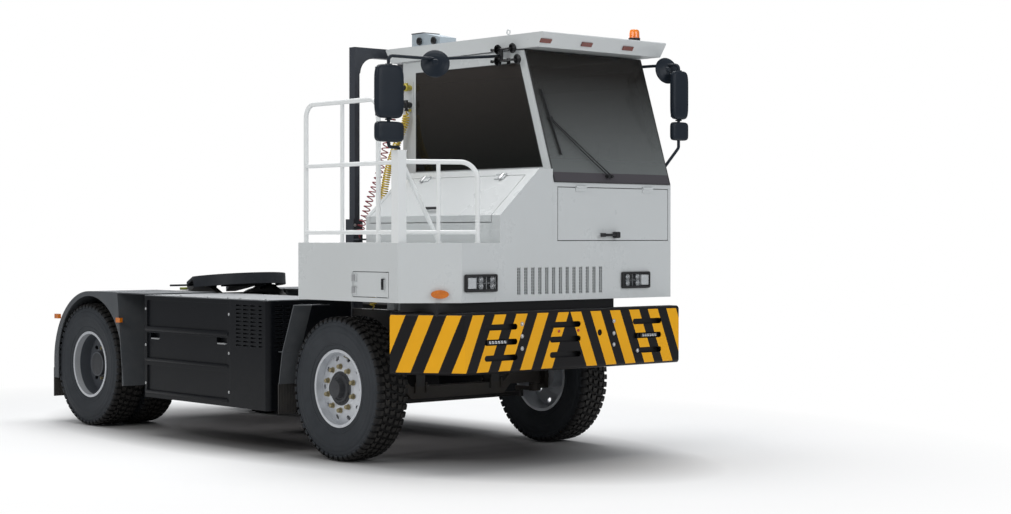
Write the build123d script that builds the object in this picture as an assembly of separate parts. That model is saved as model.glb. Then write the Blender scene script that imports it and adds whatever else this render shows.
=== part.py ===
from build123d import *
import math
import os

# Electric terminal tractor with a narrow cab on its left side, a fifth wheel and twin rear wheels.
# Sizes are in millimetres. x runs forward, y to the vehicle's left and z up from the ground.
# Every piece is drawn from the front axle's centre line; put() moves it so that the origin
# lies on the ground under the middle of the vehicle.

# Driving dimensions
wheelbase = 3700
front_overhang = 1255
rear_overhang = 585
body_width = 2550
mirror_span = 2920
tyre_radius = 550
front_wheel_centre = 1045
kingpin_centre = 870
rear_wheel_centre = 915
twin_spacing = 350
frame_top = 1120
body_bottom = 1226
deck_top = 1660
cab_right = -11
cab_rear = -647
cab_front = 1165
roof_bottom = 3140
roof_top = 3260
seat_gap = 0.3
working_gap = 6
overrun = 10

side_y = body_width / 2
rear_axle_x = -wheelbase
middle_x = (front_overhang - wheelbase - rear_overhang) / 2
cab_left = side_y

os.makedirs("parts", exist_ok=True)


# Shape helpers

def block(x_low, x_high, y_low, y_high, z_low, z_high):
    centre = Pos((x_low + x_high) / 2, (y_low + y_high) / 2, (z_low + z_high) / 2)
    return centre * Box(x_high - x_low, y_high - y_low, z_high - z_low)


def side_plate(points, y_low, y_high):
    # Points are (x, z) pairs seen from the side.
    plane = Plane(origin=(0, y_high, 0), x_dir=(1, 0, 0), z_dir=(0, -1, 0))
    return extrude(plane * Polygon(*points, align=None), amount=y_high - y_low, dir=(0, -1, 0))


def cross_plate(points, x_low, x_high):
    # Points are (y, z) pairs seen from the front.
    plane = Plane(origin=(x_low, 0, 0), x_dir=(0, 1, 0), z_dir=(1, 0, 0))
    return extrude(plane * Polygon(*points, align=None), amount=x_high - x_low, dir=(1, 0, 0))


def level_plate(points, z_low, z_high):
    # Points are (x, y) pairs seen from above.
    plane = Plane(origin=(0, 0, z_low), x_dir=(1, 0, 0), z_dir=(0, 0, 1))
    return extrude(plane * Polygon(*points, align=None), amount=z_high - z_low, dir=(0, 0, 1))


def rod(start, end, radius):
    start = Vector(*start)
    run = Vector(*end) - start
    plane = Plane(origin=start, z_dir=run)
    return extrude(plane * Circle(radius), amount=run.length)


def bar(x_low, x_high, y, z, radius):
    return rod((x_low, y, z), (x_high, y, z), radius)


def cross_disc(x, y_low, y_high, z, radius):
    return rod((x, y_low, z), (x, y_high, z), radius)


def tube_path(points, radii, radius):
    path = FilletPolyline(*points, radius=radii)
    return sweep(Plane(origin=path @ 0, z_dir=path % 0) * Circle(radius), path=path)


def mirrored(shape):
    return mirror(shape, about=Plane.XZ)


def both_sides(shape):
    return [shape, mirrored(shape)]


def put(node, *shapes):
    solids = []
    for shape in shapes:
        solids += (Pos(-middle_x, 0, 0) * shape).solids()
    export_step(Compound(children=solids) if len(solids) > 1 else solids[0], f"parts/{node}.step")


# Frame: two channel rails joined by cross members
rail_outer = 432
rail_depth = 260
rail_flange = 80
rail_web = 10
frame_rear = -4262
frame_front = 1090
rail_bottom = frame_top - rail_depth
rail_inner = rail_outer - rail_flange
rail_profile = [
    (rail_inner, rail_bottom),
    (rail_outer, rail_bottom),
    (rail_outer, frame_top),
    (rail_inner, frame_top),
    (rail_inner, frame_top - rail_web),
    (rail_outer - rail_web, frame_top - rail_web),
    (rail_outer - rail_web, rail_bottom + rail_web),
    (rail_inner, rail_bottom + rail_web),
]
left_rail = cross_plate(rail_profile, frame_rear, frame_front)
put("frame_rails", *both_sides(left_rail))

member_width = 90
member_depth = 150
member_drop = 55
member_half = rail_outer - rail_web
gantry_x = -948
member_first = -4180
member_last = 980
members = []
member_places = [
    member_first,
    rear_axle_x + tyre_radius,
    rear_axle_x / 2 - tyre_radius,
    gantry_x,
    -member_width * 2,
    member_last,
]
member_z = frame_top - member_drop
for place in member_places:
    members.append(
        block(place - member_width / 2, place + member_width / 2, -member_half, member_half,
              member_z - member_depth, member_z)
    )
put("cross_members", *members)

# Front axle: forged beam dropped between the spring seats, with an eye for each kingpin
axle_width = 100
axle_depth = 95
axle_drop = 70
axle_eye_radius = 48
axle_eye_height = 120
kingpin_radius = 24
spring_y = 392
spring_width = 90
axle_z = tyre_radius
drop_start = spring_y + spring_width
axle_low = axle_z - axle_drop - axle_depth / 2
axle_profile = [
    (-kingpin_centre, axle_z - axle_depth / 2),
    (-drop_start - axle_drop, axle_z - axle_depth / 2),
    (-drop_start, axle_low),
    (drop_start, axle_low),
    (drop_start + axle_drop, axle_z - axle_depth / 2),
    (kingpin_centre, axle_z - axle_depth / 2),
    (kingpin_centre, axle_z + axle_depth / 2),
    (drop_start + axle_drop, axle_z + axle_depth / 2),
    (drop_start, axle_low + axle_depth),
    (-drop_start, axle_low + axle_depth),
    (-drop_start - axle_drop, axle_z + axle_depth / 2),
    (-kingpin_centre, axle_z + axle_depth / 2),
]
axle_beam = cross_plate(axle_profile, -axle_width / 2, axle_width / 2)
for side in (-1, 1):
    eye_y = side * kingpin_centre
    eye_low = axle_z - axle_eye_height / 2
    eye_high = axle_z + axle_eye_height / 2
    axle_beam += rod((0, eye_y, eye_low), (0, eye_y, eye_high), axle_eye_radius)
for side in (-1, 1):
    eye_y = side * kingpin_centre
    axle_beam -= rod((0, eye_y, 0), (0, eye_y, frame_top), kingpin_radius + seat_gap)
put("front_axle", axle_beam)

# Rear axle: tube with a round differential case, open to neither side
rear_tube_radius = 78
rear_tube_end = 590
case_radius = 205
case_width = 190
case_nose = 330
nose_radius = 95
rear_axle = cross_disc(rear_axle_x, -rear_tube_end, rear_tube_end, axle_z, rear_tube_radius)
rear_axle += cross_disc(rear_axle_x, -case_width / 2, case_width / 2, axle_z, case_radius)
rear_axle += bar(rear_axle_x, rear_axle_x + case_nose, 0, axle_z, nose_radius)
put("rear_axle", rear_axle)

# Leaf springs: stepped packs between two hangers, on a seat at the axle
leaf_thickness = 18
leaf_count = 4
front_leaf_length = 1380
rear_leaf_length = 1080
leaf_step_share = 0.19
front_seat_top = axle_low + axle_depth
rear_seat_top = axle_z + rear_tube_radius
hanger_width = 70
hanger_length = 90


def leaf_spring(centre_x, seat_top, leaf_length):
    spring_top = rail_bottom - rail_flange
    pack = block(centre_x - leaf_length / 2, centre_x + leaf_length / 2, spring_y - spring_width / 2,
                 spring_y + spring_width / 2, spring_top - leaf_thickness, spring_top)
    for index in range(1, leaf_count):
        half = leaf_length * (1 - index * leaf_step_share) / 2
        high = spring_top - index * leaf_thickness
        pack += block(centre_x - half, centre_x + half, spring_y - spring_width / 2,
                      spring_y + spring_width / 2, high - leaf_thickness, high)
    pack_bottom = spring_top - leaf_count * leaf_thickness
    pack += block(centre_x - axle_width / 2, centre_x + axle_width / 2, spring_y - spring_width / 2,
                  spring_y + spring_width / 2, seat_top, pack_bottom)
    for end in (-1, 1):
        hanger_x = centre_x + end * (leaf_length - hanger_length) / 2
        pack += block(hanger_x - hanger_length / 2, hanger_x + hanger_length / 2,
                      spring_y - hanger_width / 2, spring_y + hanger_width / 2, spring_top, rail_bottom)
    return pack


put("leaf_springs", *both_sides(leaf_spring(0, front_seat_top, front_leaf_length)),
    *both_sides(leaf_spring(rear_axle_x, rear_seat_top, rear_leaf_length)))

# Drive motor and its shaft: the motor is a plain block hung between the rails
motor_front = -1250
motor_length = 900
motor_half = 235
motor_depth = 420
motor_top_drop = 220
shaft_radius = 45
motor_top = frame_top - motor_top_drop
motor_rear = motor_front - motor_length
motor = block(motor_rear, motor_front, -motor_half, motor_half, motor_top - motor_depth, motor_top)
for end_x in (motor_rear, motor_front - member_width):
    motor += block(end_x, end_x + member_width, -rail_inner, rail_inner, motor_top - member_width, motor_top)
shaft_end = rear_axle_x + case_nose + working_gap
motor += rod((motor_rear, 0, motor_top - motor_depth / 2), (shaft_end, 0, axle_z), shaft_radius)
put("drive_motor", motor)

# Side boxes: framed battery boxes on both sides, a louvred cabinet ahead of the right one
box_rear = -2624
box_split = -1305
box_front = -766
box_bottom = 330
box_top = 1197
box_inner = 470
box_corner = 40
panel_recess = 14
panel_frame = 34
panel_count = 3
handle_width = 150
handle_height = 60
handle_depth = 40


def battery_box():
    box = block(box_rear, box_split - seat_gap, box_inner, side_y, box_bottom, box_top)
    pitch = (box_top - box_bottom - panel_frame) / panel_count
    for index in range(panel_count):
        low = box_bottom + panel_frame + index * pitch
        box -= block(box_rear + panel_frame, box_split - panel_frame, side_y - panel_recess,
                     side_y + overrun, low, low + pitch - panel_frame)
    middle_top = box_bottom + 2 * pitch
    for left_x in (box_rear + 2 * panel_frame, box_split - 2 * panel_frame - handle_width):
        box -= block(left_x, left_x + handle_width, side_y - panel_recess - handle_depth,
                     side_y + overrun, middle_top - handle_height, middle_top)
    return box


put("battery_boxes", *both_sides(battery_box()))

slot_height = 14
slot_pitch = 32
slot_rows = 11
slot_depth = 16
slot_top_drop = 36
side_slots = ((85, 80), (189, 80), (293, 80), (408, 48))
front_slots = ((68, 76), (166, 76))
cabinet = block(box_split, box_front, box_inner, side_y, box_bottom, box_top)
cabinet_corner = cabinet.edges().filter_by(Axis.Z).sort_by(lambda edge: edge.center().X + edge.center().Y)[-1]
cabinet = fillet(cabinet_corner, radius=box_corner)
for row in range(slot_rows):
    slot_z = box_top - slot_top_drop - row * slot_pitch
    for inset, length in side_slots:
        slot_x = box_split + inset
        cabinet -= block(slot_x, slot_x + length, side_y - slot_depth, side_y + overrun,
                         slot_z - slot_height, slot_z)
    for inset, length in front_slots:
        slot_y = side_y - inset
        cabinet -= block(box_front - slot_depth, box_front + overrun, slot_y - length, slot_y,
                         slot_z - slot_height, slot_z)
put("side_cabinet", mirrored(cabinet))

# Boarding steps on the left, where the right side has its cabinet
step_side = 12
step_thickness = 40
step_depth = 330
step_count = 3
steps = block(box_split, box_front, box_inner, side_y - step_depth, box_bottom, box_top)
for wall_x in (box_split, box_front - step_side):
    steps += block(wall_x, wall_x + step_side, box_inner, side_y, box_bottom, box_top)
for index in range(step_count):
    tread_top = box_bottom + step_thickness + index * (box_top - box_bottom) / step_count
    steps += block(box_split, box_front, side_y - step_depth, side_y, tread_top - step_thickness, tread_top)
put("boarding_steps", steps)

# Grey top plates over the side boxes, bridging to the frame
plate_thickness = 8
plate_inner = 455
plate_top = box_top + plate_thickness
top_plate = block(box_rear, box_front, plate_inner, side_y, box_top, plate_top)
plate_leg = block(box_rear, box_front, plate_inner - plate_thickness, plate_inner,
                  frame_top - rail_flange, plate_top)
plate_shelf = block(box_rear, box_front, rail_outer, plate_inner,
                    frame_top - rail_flange, frame_top - rail_flange + plate_thickness)
put("top_plates", *both_sides(top_plate + plate_leg + plate_shelf))

# Mudguards: rear arches over the twin wheels and bent sheets behind the front wheels
guard_sheet = 10
arch_radius = 655
arch_centre_x = -3622
arch_rear_bottom = 403
arch_outer_y = 1254
arch_inner_y = 560
arch_front_top_x = -3130
arch_front_low_x = -3020
arch_front_low_z = 395
lip_radius = 572
lip_centre_z = 600
lip_thickness = 8
arch_top = axle_z + arch_radius + guard_sheet
arch_plane = Plane(origin=(0, arch_outer_y, 0), x_dir=(1, 0, 0), z_dir=(0, -1, 0))
arch_depth = arch_outer_y - arch_inner_y
arch_left_x = arch_centre_x - arch_radius


def arch_outline(inset, drop):
    radius = arch_radius - inset
    centre_z = arch_top - arch_radius
    left = arch_centre_x - radius
    top = centre_z + radius
    turn = radius / math.sqrt(2)
    return [
        Line((left, arch_rear_bottom - drop), (left, centre_z)),
        ThreePointArc((left, centre_z), (arch_centre_x - turn, centre_z + turn), (arch_centre_x, top)),
        Line((arch_centre_x, top), (arch_front_top_x - inset, top)),
        Line((arch_front_top_x - inset, top), (arch_front_low_x - inset, arch_front_low_z - drop)),
    ]


def arch_face(inset, drop):
    lines = arch_outline(inset, drop)
    lines.append(Line((arch_front_low_x - inset, arch_front_low_z - drop),
                      (arch_left_x + inset, arch_rear_bottom - drop)))
    return make_face(Wire(lines))


arch_sheet = arch_face(0, 0) - arch_face(guard_sheet, overrun)
arch_solid = extrude(arch_plane * arch_sheet, amount=arch_depth, dir=(0, -1, 0))
lip_hole = Pos(arch_centre_x, lip_centre_z) * Circle(lip_radius)
lip_hole += Pos(arch_centre_x, lip_centre_z - lip_radius) * Rectangle(2 * lip_radius, 2 * lip_radius)
arch_lip = extrude(arch_plane * (arch_face(0, 0) - lip_hole), amount=lip_thickness, dir=(0, -1, 0))
arch_shelf = block(arch_front_top_x - guard_sheet, box_rear, arch_inner_y, arch_outer_y,
                   arch_top - guard_sheet, arch_top)
bracket_x = arch_centre_x + twin_spacing
bracket_z = arch_top - guard_sheet - member_width
arch_bracket = block(bracket_x, bracket_x + member_width, rail_outer, arch_inner_y, bracket_z, arch_top)
rear_arch = arch_solid + arch_lip + arch_shelf + arch_bracket

front_guard_outer_y = 1255
front_guard_inner_y = 1085
front_guard_sheet = 8
guard_top_front = (-205, 1178)
guard_top_rear = (-440, 1170)
guard_middle = (-596, 800)
guard_low = (-642, 550)
front_guard = side_plate(
    [
        guard_top_front,
        guard_top_rear,
        guard_middle,
        guard_low,
        (guard_low[0] - front_guard_sheet, guard_low[1]),
        (guard_middle[0] - front_guard_sheet, guard_middle[1]),
        (guard_top_rear[0] - front_guard_sheet, guard_top_rear[1] + front_guard_sheet),
        (guard_top_front[0], guard_top_front[1] + front_guard_sheet),
    ],
    front_guard_inner_y, front_guard_outer_y,
)
front_guard += block(box_front, guard_middle[0] - front_guard_sheet / 2, front_guard_inner_y,
                     front_guard_inner_y + member_width, guard_middle[1] - front_guard_sheet,
                     guard_middle[1])
put("mudguards", *both_sides(rear_arch), *both_sides(front_guard))

# Rubber flaps under the mudguards
flap_bottom = 229
flap_thickness = 8
front_flap_bottom = 315
rear_flap_rear = rear_axle_x - rear_overhang
rear_flap = block(rear_flap_rear, rear_flap_rear + flap_thickness, arch_inner_y, arch_outer_y,
                  flap_bottom, arch_rear_bottom + member_width)
front_flap = block(guard_low[0] - front_guard_sheet - flap_thickness, guard_low[0] - front_guard_sheet,
                   front_guard_inner_y, front_guard_outer_y, front_flap_bottom, guard_low[1] + flap_thickness)
put("mudflaps", *both_sides(rear_flap), *both_sides(front_flap))

# Bumper: bent plate with rounded top and bottom, a slanted right wing and three groups of slots
bumper_bottom = 705
bumper_top = 1158
bumper_sheet = 10
bumper_return = 110
bumper_corner_y = -957
wing_end_x = 786
bumper_bend = 28
toe_slot_length = 320
toe_slot_height = 44
toe_slot_centres_y = (-610, 35, 915)
toe_slot_heights = (820, 935, 1045)
tow_hole_radius = 24
tow_hole_y = 397
tow_hole_z = 973
bumper_outline = [
    (front_overhang, side_y),
    (front_overhang, bumper_corner_y),
    (wing_end_x, -side_y),
]
wing_run = Vector(front_overhang - wing_end_x, bumper_corner_y + side_y)
wing_slope = wing_run.Y / wing_run.X


def bumper_strip(inner, z_low, z_high):
    # A strip of the plan from the outer face back by the given depth.
    return level_plate(
        [
            *bumper_outline,
            (wing_end_x - inner * wing_slope, -side_y + inner),
            (front_overhang - inner, bumper_corner_y + inner * wing_slope),
            (front_overhang - inner, side_y),
        ],
        z_low, z_high,
    )


bumper = bumper_strip(bumper_return, bumper_bottom, bumper_top)
outer_edges = []
for edge in bumper.edges():
    middle = edge.center()
    on_front = abs(middle.X - front_overhang) < seat_gap
    on_wing = abs(middle.Y - (-side_y - bumper_corner_y) / 2 - bumper_corner_y) < seat_gap
    level = abs(middle.Z - bumper_bottom) < seat_gap or abs(middle.Z - bumper_top) < seat_gap
    if level and (on_front or on_wing):
        outer_edges.append(edge)
bumper = fillet(outer_edges, radius=bumper_bend)
bumper -= level_plate(
    [
        (front_overhang - bumper_sheet, side_y + overrun),
        (front_overhang - bumper_sheet, bumper_corner_y + bumper_sheet * wing_slope),
        (wing_end_x - bumper_sheet * wing_slope - overrun, -side_y + bumper_sheet - overrun * wing_slope),
        (wing_end_x - bumper_return, -side_y + 2 * bumper_return),
        (front_overhang - 2 * bumper_return, bumper_corner_y + bumper_return),
        (front_overhang - 2 * bumper_return, side_y + overrun),
    ],
    bumper_bottom + bumper_sheet, bumper_top - bumper_sheet,
)
for slot_centre in toe_slot_centres_y:
    for slot_z in toe_slot_heights:
        half_run = (toe_slot_length - toe_slot_height) / 2
        x_low = front_overhang - 2 * bumper_sheet
        x_high = front_overhang + overrun
        bumper -= block(x_low, x_high, slot_centre - half_run, slot_centre + half_run,
                        slot_z - toe_slot_height / 2, slot_z + toe_slot_height / 2)
        for end in (-1, 1):
            bumper -= bar(x_low, x_high, slot_centre + end * half_run, slot_z, toe_slot_height / 2)
bumper -= bar(front_overhang - 2 * bumper_sheet, front_overhang + overrun, tow_hole_y, tow_hole_z,
              tow_hole_radius)
bumper_arm_x = frame_front
for side in (-1, 1):
    arm_low = side * rail_outer - (member_width if side > 0 else 0)
    bumper += block(bumper_arm_x, front_overhang - bumper_sheet, arm_low, arm_low + member_width,
                    rail_bottom, frame_top)
put("bumper", bumper)

# Platform: the white lower body, a folded shell open below, with a slanted right front corner
platform_rear = -353
body_wall = 30
corner_x = 883
corner_y = -912
service_x = (341, 775)
service_z = (1258, 1450)
service_bay_depth = 320
vent_count = 13
vent_width = 34
vent_low = 1273
vent_high = 1477
vent_first_y = -356
vent_last_y = 493
platform_outline = [
    (platform_rear, -side_y),
    (corner_x, -side_y),
    (cab_front, corner_y),
    (cab_front, side_y),
    (platform_rear, side_y),
]
corner_run = Vector(cab_front - corner_x, corner_y + side_y)
corner_turn = (corner_run.length - corner_run.X) / corner_run.Y * body_wall
front_turn = (corner_run.length - corner_run.Y) / corner_run.X * body_wall
platform_inside = [
    (platform_rear + body_wall, -side_y + body_wall),
    (corner_x - corner_turn, -side_y + body_wall),
    (cab_front - body_wall, corner_y + front_turn),
    (cab_front - body_wall, side_y - body_wall),
    (platform_rear + body_wall, side_y - body_wall),
]
platform = level_plate(platform_outline, body_bottom, deck_top)
platform -= level_plate(platform_inside, body_bottom - overrun, deck_top - body_wall)
platform -= block(service_x[0], service_x[1], -side_y - overrun, -side_y + 2 * body_wall,
                  service_z[0], service_z[1])
vent_pitch = (vent_last_y - vent_first_y) / (vent_count - 1)
for index in range(vent_count):
    vent_y = vent_first_y + index * vent_pitch
    platform -= block(cab_front - 2 * body_wall, cab_front + overrun, vent_y - vent_width / 2,
                      vent_y + vent_width / 2, vent_low, vent_high)
rib_height = deck_top - body_wall - frame_top
for rib_x in (platform_rear + body_wall, -member_width * 2, member_last):
    for side in (-1, 1):
        rib_y = side * (rail_inner + rail_outer) / 2
        platform += block(rib_x, rib_x + member_width, rib_y - rail_flange / 2, rib_y + rail_flange / 2,
                          frame_top, deck_top - body_wall)
put("platform", platform)

# Service door in the platform's right side, hinged at its rear edge
service_sheet = 12
service_door = block(service_x[0] + working_gap, service_x[1] - working_gap, -side_y - seat_gap,
                     -side_y + service_sheet, service_z[0] + working_gap, service_z[1] - working_gap)
latch_width = 20
latch_height = 80
latch_stand = 12
latch_x = service_x[1] - 3 * latch_width
latch_z = (service_z[0] + service_z[1]) / 2
service_door += block(latch_x, latch_x + latch_width, -side_y - latch_stand, -side_y,
                      latch_z - latch_height / 2, latch_z + latch_height / 2)
service_hinge_shares = (0.25, 0.75)
hinge_radius = 9
hinge_length = 55
for share in service_hinge_shares:
    hinge_z = service_z[0] + share * (service_z[1] - service_z[0])
    service_door += rod((service_x[0], -side_y - hinge_radius, hinge_z - hinge_length / 2),
                        (service_x[0], -side_y - hinge_radius, hinge_z + hinge_length / 2), hinge_radius)
    service_door += block(service_x[0], service_x[0] + hinge_length, -side_y - hinge_radius, -side_y,
                          hinge_z - hinge_length / 2, hinge_z + hinge_length / 2)
put("service_door", service_door)

# Console: wedge shaped housing beside the cab, a folded shell whose slope is a hatch
console_rear = -455
console_outer = -541
console_low_kink = 1866
console_high_kink = 2218
console_ledge = -149
console_wall = 20
hatch_x = (-409, 1069)
hatch_low = 1810
hatch_ledge = -200
slope_run = Vector(console_ledge - console_outer, console_high_kink - console_low_kink)
slope = slope_run.Y / slope_run.X
console_profile = [
    (console_outer, deck_top),
    (console_outer, console_low_kink),
    (console_ledge, console_high_kink),
    (cab_right - seat_gap, console_high_kink),
    (cab_right - seat_gap, deck_top),
]
low_turn = (slope_run.length - slope_run.Y) / slope_run.X * console_wall
high_turn = (slope_run.length - slope_run.X) / slope_run.Y * console_wall
console_inside = [
    (console_outer + console_wall, deck_top - overrun),
    (console_outer + console_wall, console_low_kink - low_turn),
    (console_ledge + high_turn, console_high_kink - console_wall),
    (cab_right - console_wall, console_high_kink - console_wall),
    (cab_right - console_wall, deck_top - overrun),
]
hatch_top_z = console_low_kink + (hatch_ledge - console_outer) * slope


def hatch_profile(margin, depth):
    # The bent outline of the hatch, shrunk at its ends by the margin and the given depth thick.
    step = Vector(slope_run.X, slope_run.Y).normalized()
    top = Vector(hatch_ledge, hatch_top_z) - step * margin
    normal = Vector(step.Y, -step.X)
    turn = depth * (1 - step.Y) / step.X
    low_inner = Vector(console_outer + depth, console_low_kink - turn)
    top_inner = top + normal * depth
    return [
        (console_outer, hatch_low + margin),
        (console_outer, console_low_kink),
        (top.X, top.Y),
        (top_inner.X, top_inner.Y),
        (low_inner.X, low_inner.Y),
        (console_outer + depth, hatch_low + margin),
    ]


console = cross_plate(console_profile, console_rear, cab_front)
console -= cross_plate(console_inside, console_rear + console_wall, cab_front - console_wall)
hatch_hole_profile = hatch_profile(0, 2 * console_wall)
hatch_hole_profile[0] = (console_outer - overrun, hatch_low)
hatch_hole_profile[1] = (console_outer - overrun, console_low_kink + overrun * slope)
hatch_hole_profile[2] = (hatch_ledge - overrun * slope, hatch_top_z + overrun)
console -= cross_plate(hatch_hole_profile, hatch_x[0], hatch_x[1])
put("console", console)

hatch_sheet = 14
hatch = cross_plate(hatch_profile(working_gap, hatch_sheet), hatch_x[0] + working_gap,
                    hatch_x[1] - working_gap)
hatch_hinge_x = (-102, 801)
hatch_hinge_length = 110
hatch_leaf = 46
up_slope = Vector(slope_run.X, slope_run.Y).normalized()
outward = Vector(-up_slope.Y, up_slope.X)
hinge_point = Vector(hatch_ledge, hatch_top_z) + outward * hinge_radius
leaf_points = [
    hinge_point,
    hinge_point - up_slope * hatch_leaf,
    hinge_point - up_slope * hatch_leaf - outward * hinge_radius,
    hinge_point - up_slope * working_gap - outward * hinge_radius,
]
for hinge_x in hatch_hinge_x:
    hinge_low = hinge_x - hatch_hinge_length / 2
    hinge_high = hinge_x + hatch_hinge_length / 2
    hatch += cross_plate([(point.X, point.Y) for point in leaf_points], hinge_low, hinge_high)
    hatch += bar(hinge_low, hinge_high, hinge_point.X, hinge_point.Y, hinge_radius - seat_gap)
grip_length = 110
grip_radius = 9
grip_foot_radius = 7.2
grip_stand = 34
grip_x = 315
grip_share = 0.17
grip_y = console_outer + grip_share * slope_run.X
grip_z = console_low_kink + grip_share * slope_run.Y
for end in (-1, 1):
    foot_x = grip_x + end * grip_length / 2
    hatch += rod((foot_x, grip_y, grip_z), (foot_x, grip_y - grip_stand, grip_z), grip_foot_radius)
hatch += bar(grip_x - grip_length / 2 - grip_radius, grip_x + grip_length / 2 + grip_radius,
             grip_y - grip_stand, grip_z, grip_radius)
put("console_hatch", hatch)

# Cab: flat walls of full thickness with their windows cut, under a roof with a forward visor
cab_wall = 40
screen_low_z = 2117
screen_high_z = 3145
screen_high_x = 830
pillar_width = 72
side_window_rear = -478
side_window_low = 2235
side_window_high = 3045
sill_z = 1700
screen_run = Vector(cab_front - screen_high_x, screen_high_z - screen_low_z)
screen_slope = screen_run.X / screen_run.Y


def screen_x(z):
    return cab_front - (z - screen_low_z) * screen_slope


side_outline = [
    (cab_rear, deck_top),
    (cab_front - cab_wall, deck_top),
    (cab_front - cab_wall, screen_low_z),
    (screen_x(screen_low_z), screen_low_z),
    (screen_x(roof_bottom), roof_bottom),
    (cab_rear, roof_bottom),
]
side_window = [
    (side_window_rear, side_window_low),
    (screen_x(side_window_low) - pillar_width, side_window_low),
    (screen_x(side_window_high) - pillar_width, side_window_high),
    (side_window_rear, side_window_high),
]
right_wall = side_plate(side_outline, cab_right, cab_right + cab_wall)
right_wall -= side_plate(side_window, cab_right - overrun, cab_right + cab_wall + overrun)
put("cab_side_right", right_wall)
left_wall = side_plate(side_outline, cab_left - cab_wall, cab_left)
left_wall -= side_plate(side_window, cab_left - cab_wall - overrun, cab_left + overrun)
put("cab_side_left", left_wall)

cab_inner_right = cab_right + cab_wall
cab_inner_left = cab_left - cab_wall
door_y = (170, 760)
door_z = (1740, 3060)
rear_window_y = (880, 1150)
rear_window_z = (2300, 3030)
rear_wall = block(cab_rear, cab_rear + cab_wall, cab_inner_right, cab_inner_left, deck_top, roof_bottom)
rear_wall -= block(cab_rear - overrun, cab_rear + cab_wall + overrun, door_y[0], door_y[1],
                   door_z[0], door_z[1])
rear_wall -= block(cab_rear - overrun, cab_rear + cab_wall + overrun, rear_window_y[0], rear_window_y[1],
                   rear_window_z[0], rear_window_z[1])
put("cab_rear_wall", rear_wall)

lid_y = (36, 1245)
lid_z = (1673, 2085)
front_wall = block(cab_front - cab_wall, cab_front, cab_right, cab_left, deck_top, screen_low_z)
front_wall -= block(cab_front - cab_wall - overrun, cab_front + overrun, lid_y[0], lid_y[1],
                    lid_z[0], lid_z[1])
put("cab_front_wall", front_wall)

# Front lid: hinged along its top edge, with a black grip near its lower edge
lid_sheet = 16
front_lid = block(cab_front - lid_sheet, cab_front, lid_y[0] + working_gap, lid_y[1] - working_gap,
                  lid_z[0] + working_gap, lid_z[1] - working_gap)
lid_grip_y = 564
lid_grip_z = 1719
lid_grip_length = 150
lid_grip_stand = 36
for end in (-1, 1):
    foot_y = lid_grip_y + end * lid_grip_length / 2
    front_lid += bar(cab_front - lid_sheet / 2, cab_front + lid_grip_stand, foot_y, lid_grip_z, grip_radius)
front_lid += cross_disc(cab_front + lid_grip_stand, lid_grip_y - lid_grip_length / 2 - grip_radius,
                        lid_grip_y + lid_grip_length / 2 + grip_radius, lid_grip_z, grip_radius)
lid_hinge_shares = (0.2, 0.8)
lid_hinge_x = cab_front + hinge_radius
lid_leaf = 34
for share in lid_hinge_shares:
    hinge_y = lid_y[0] + share * (lid_y[1] - lid_y[0])
    front_lid += block(cab_front, lid_hinge_x, hinge_y - hinge_length, hinge_y + hinge_length,
                       lid_z[1] - lid_leaf, lid_z[1])
    front_lid += cross_disc(lid_hinge_x, hinge_y - hinge_length, hinge_y + hinge_length, lid_z[1],
                            hinge_radius - seat_gap)
put("front_lid", front_lid)

# Cab floor with the bulkhead behind the front compartment
compartment_depth = 230
bulkhead = 20
floor_low = deck_top
cab_floor = block(cab_rear + cab_wall, cab_front - cab_wall, cab_inner_right, cab_inner_left,
                  floor_low, sill_z)
cab_floor += block(cab_front - compartment_depth - bulkhead, cab_front - compartment_depth,
                   cab_inner_right, cab_inner_left, floor_low, screen_low_z)
put("cab_floor", cab_floor)

# Roof: slab with slanted rear edge and a visor that leans out over the windscreen
roof_side = 27
roof_rear_top = -852
roof_rear_low = -774
visor_top_x = 1098
visor_low_x = 1022
visor_drop = 8
roof_profile = [
    (roof_rear_low, roof_bottom + seat_gap),
    (visor_low_x, roof_bottom + visor_drop),
    (visor_top_x, roof_top),
    (roof_rear_top, roof_top),
]
roof = side_plate(roof_profile, cab_right - roof_side, cab_left + roof_side)
roof = fillet(roof.edges().filter_by(Axis.Y).group_by(Axis.Z)[-1], radius=overrun)
eye_x = 581
eye_y = 60
eye_height = 3299
eye_ring_radius = 18
eye_wire = 5
eye_ring = Pos(eye_x, eye_y, eye_height) * Rot(90, 0, 0) * Torus(eye_ring_radius, eye_wire)
roof += eye_ring
roof += rod((eye_x, eye_y, roof_top), (eye_x, eye_y, eye_height - eye_ring_radius), eye_wire)
put("cab_roof", roof)

# Glass: windscreen across both pillars, side windows, rear window
glass_thickness = 8
glass_rest = 12
screen_outline = [
    (screen_x(screen_low_z) + seat_gap, screen_low_z + seat_gap),
    (screen_x(roof_bottom) + seat_gap, roof_bottom),
    (screen_x(roof_bottom) + seat_gap + glass_thickness, roof_bottom),
    (screen_x(screen_low_z) + seat_gap + glass_thickness, screen_low_z + seat_gap),
]
windscreen = side_plate(screen_outline, cab_right + glass_rest, cab_left - glass_rest)
pane_outline = [
    (side_window_rear + seat_gap, side_window_low + seat_gap),
    (screen_x(side_window_low) - pillar_width - seat_gap, side_window_low + seat_gap),
    (screen_x(side_window_high) - pillar_width - seat_gap, side_window_high - seat_gap),
    (side_window_rear + seat_gap, side_window_high - seat_gap),
]
right_pane = side_plate(pane_outline, cab_right + seat_gap, cab_right + seat_gap + glass_thickness)
left_pane = side_plate(pane_outline, cab_left - seat_gap - glass_thickness, cab_left - seat_gap)
rear_pane = block(cab_rear + glass_thickness, cab_rear + 2 * glass_thickness, rear_window_y[0] + seat_gap,
                  rear_window_y[1] - seat_gap, rear_window_z[0] + seat_gap, rear_window_z[1] - seat_gap)
put("cab_glass", windscreen, right_pane, left_pane, rear_pane)

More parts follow.
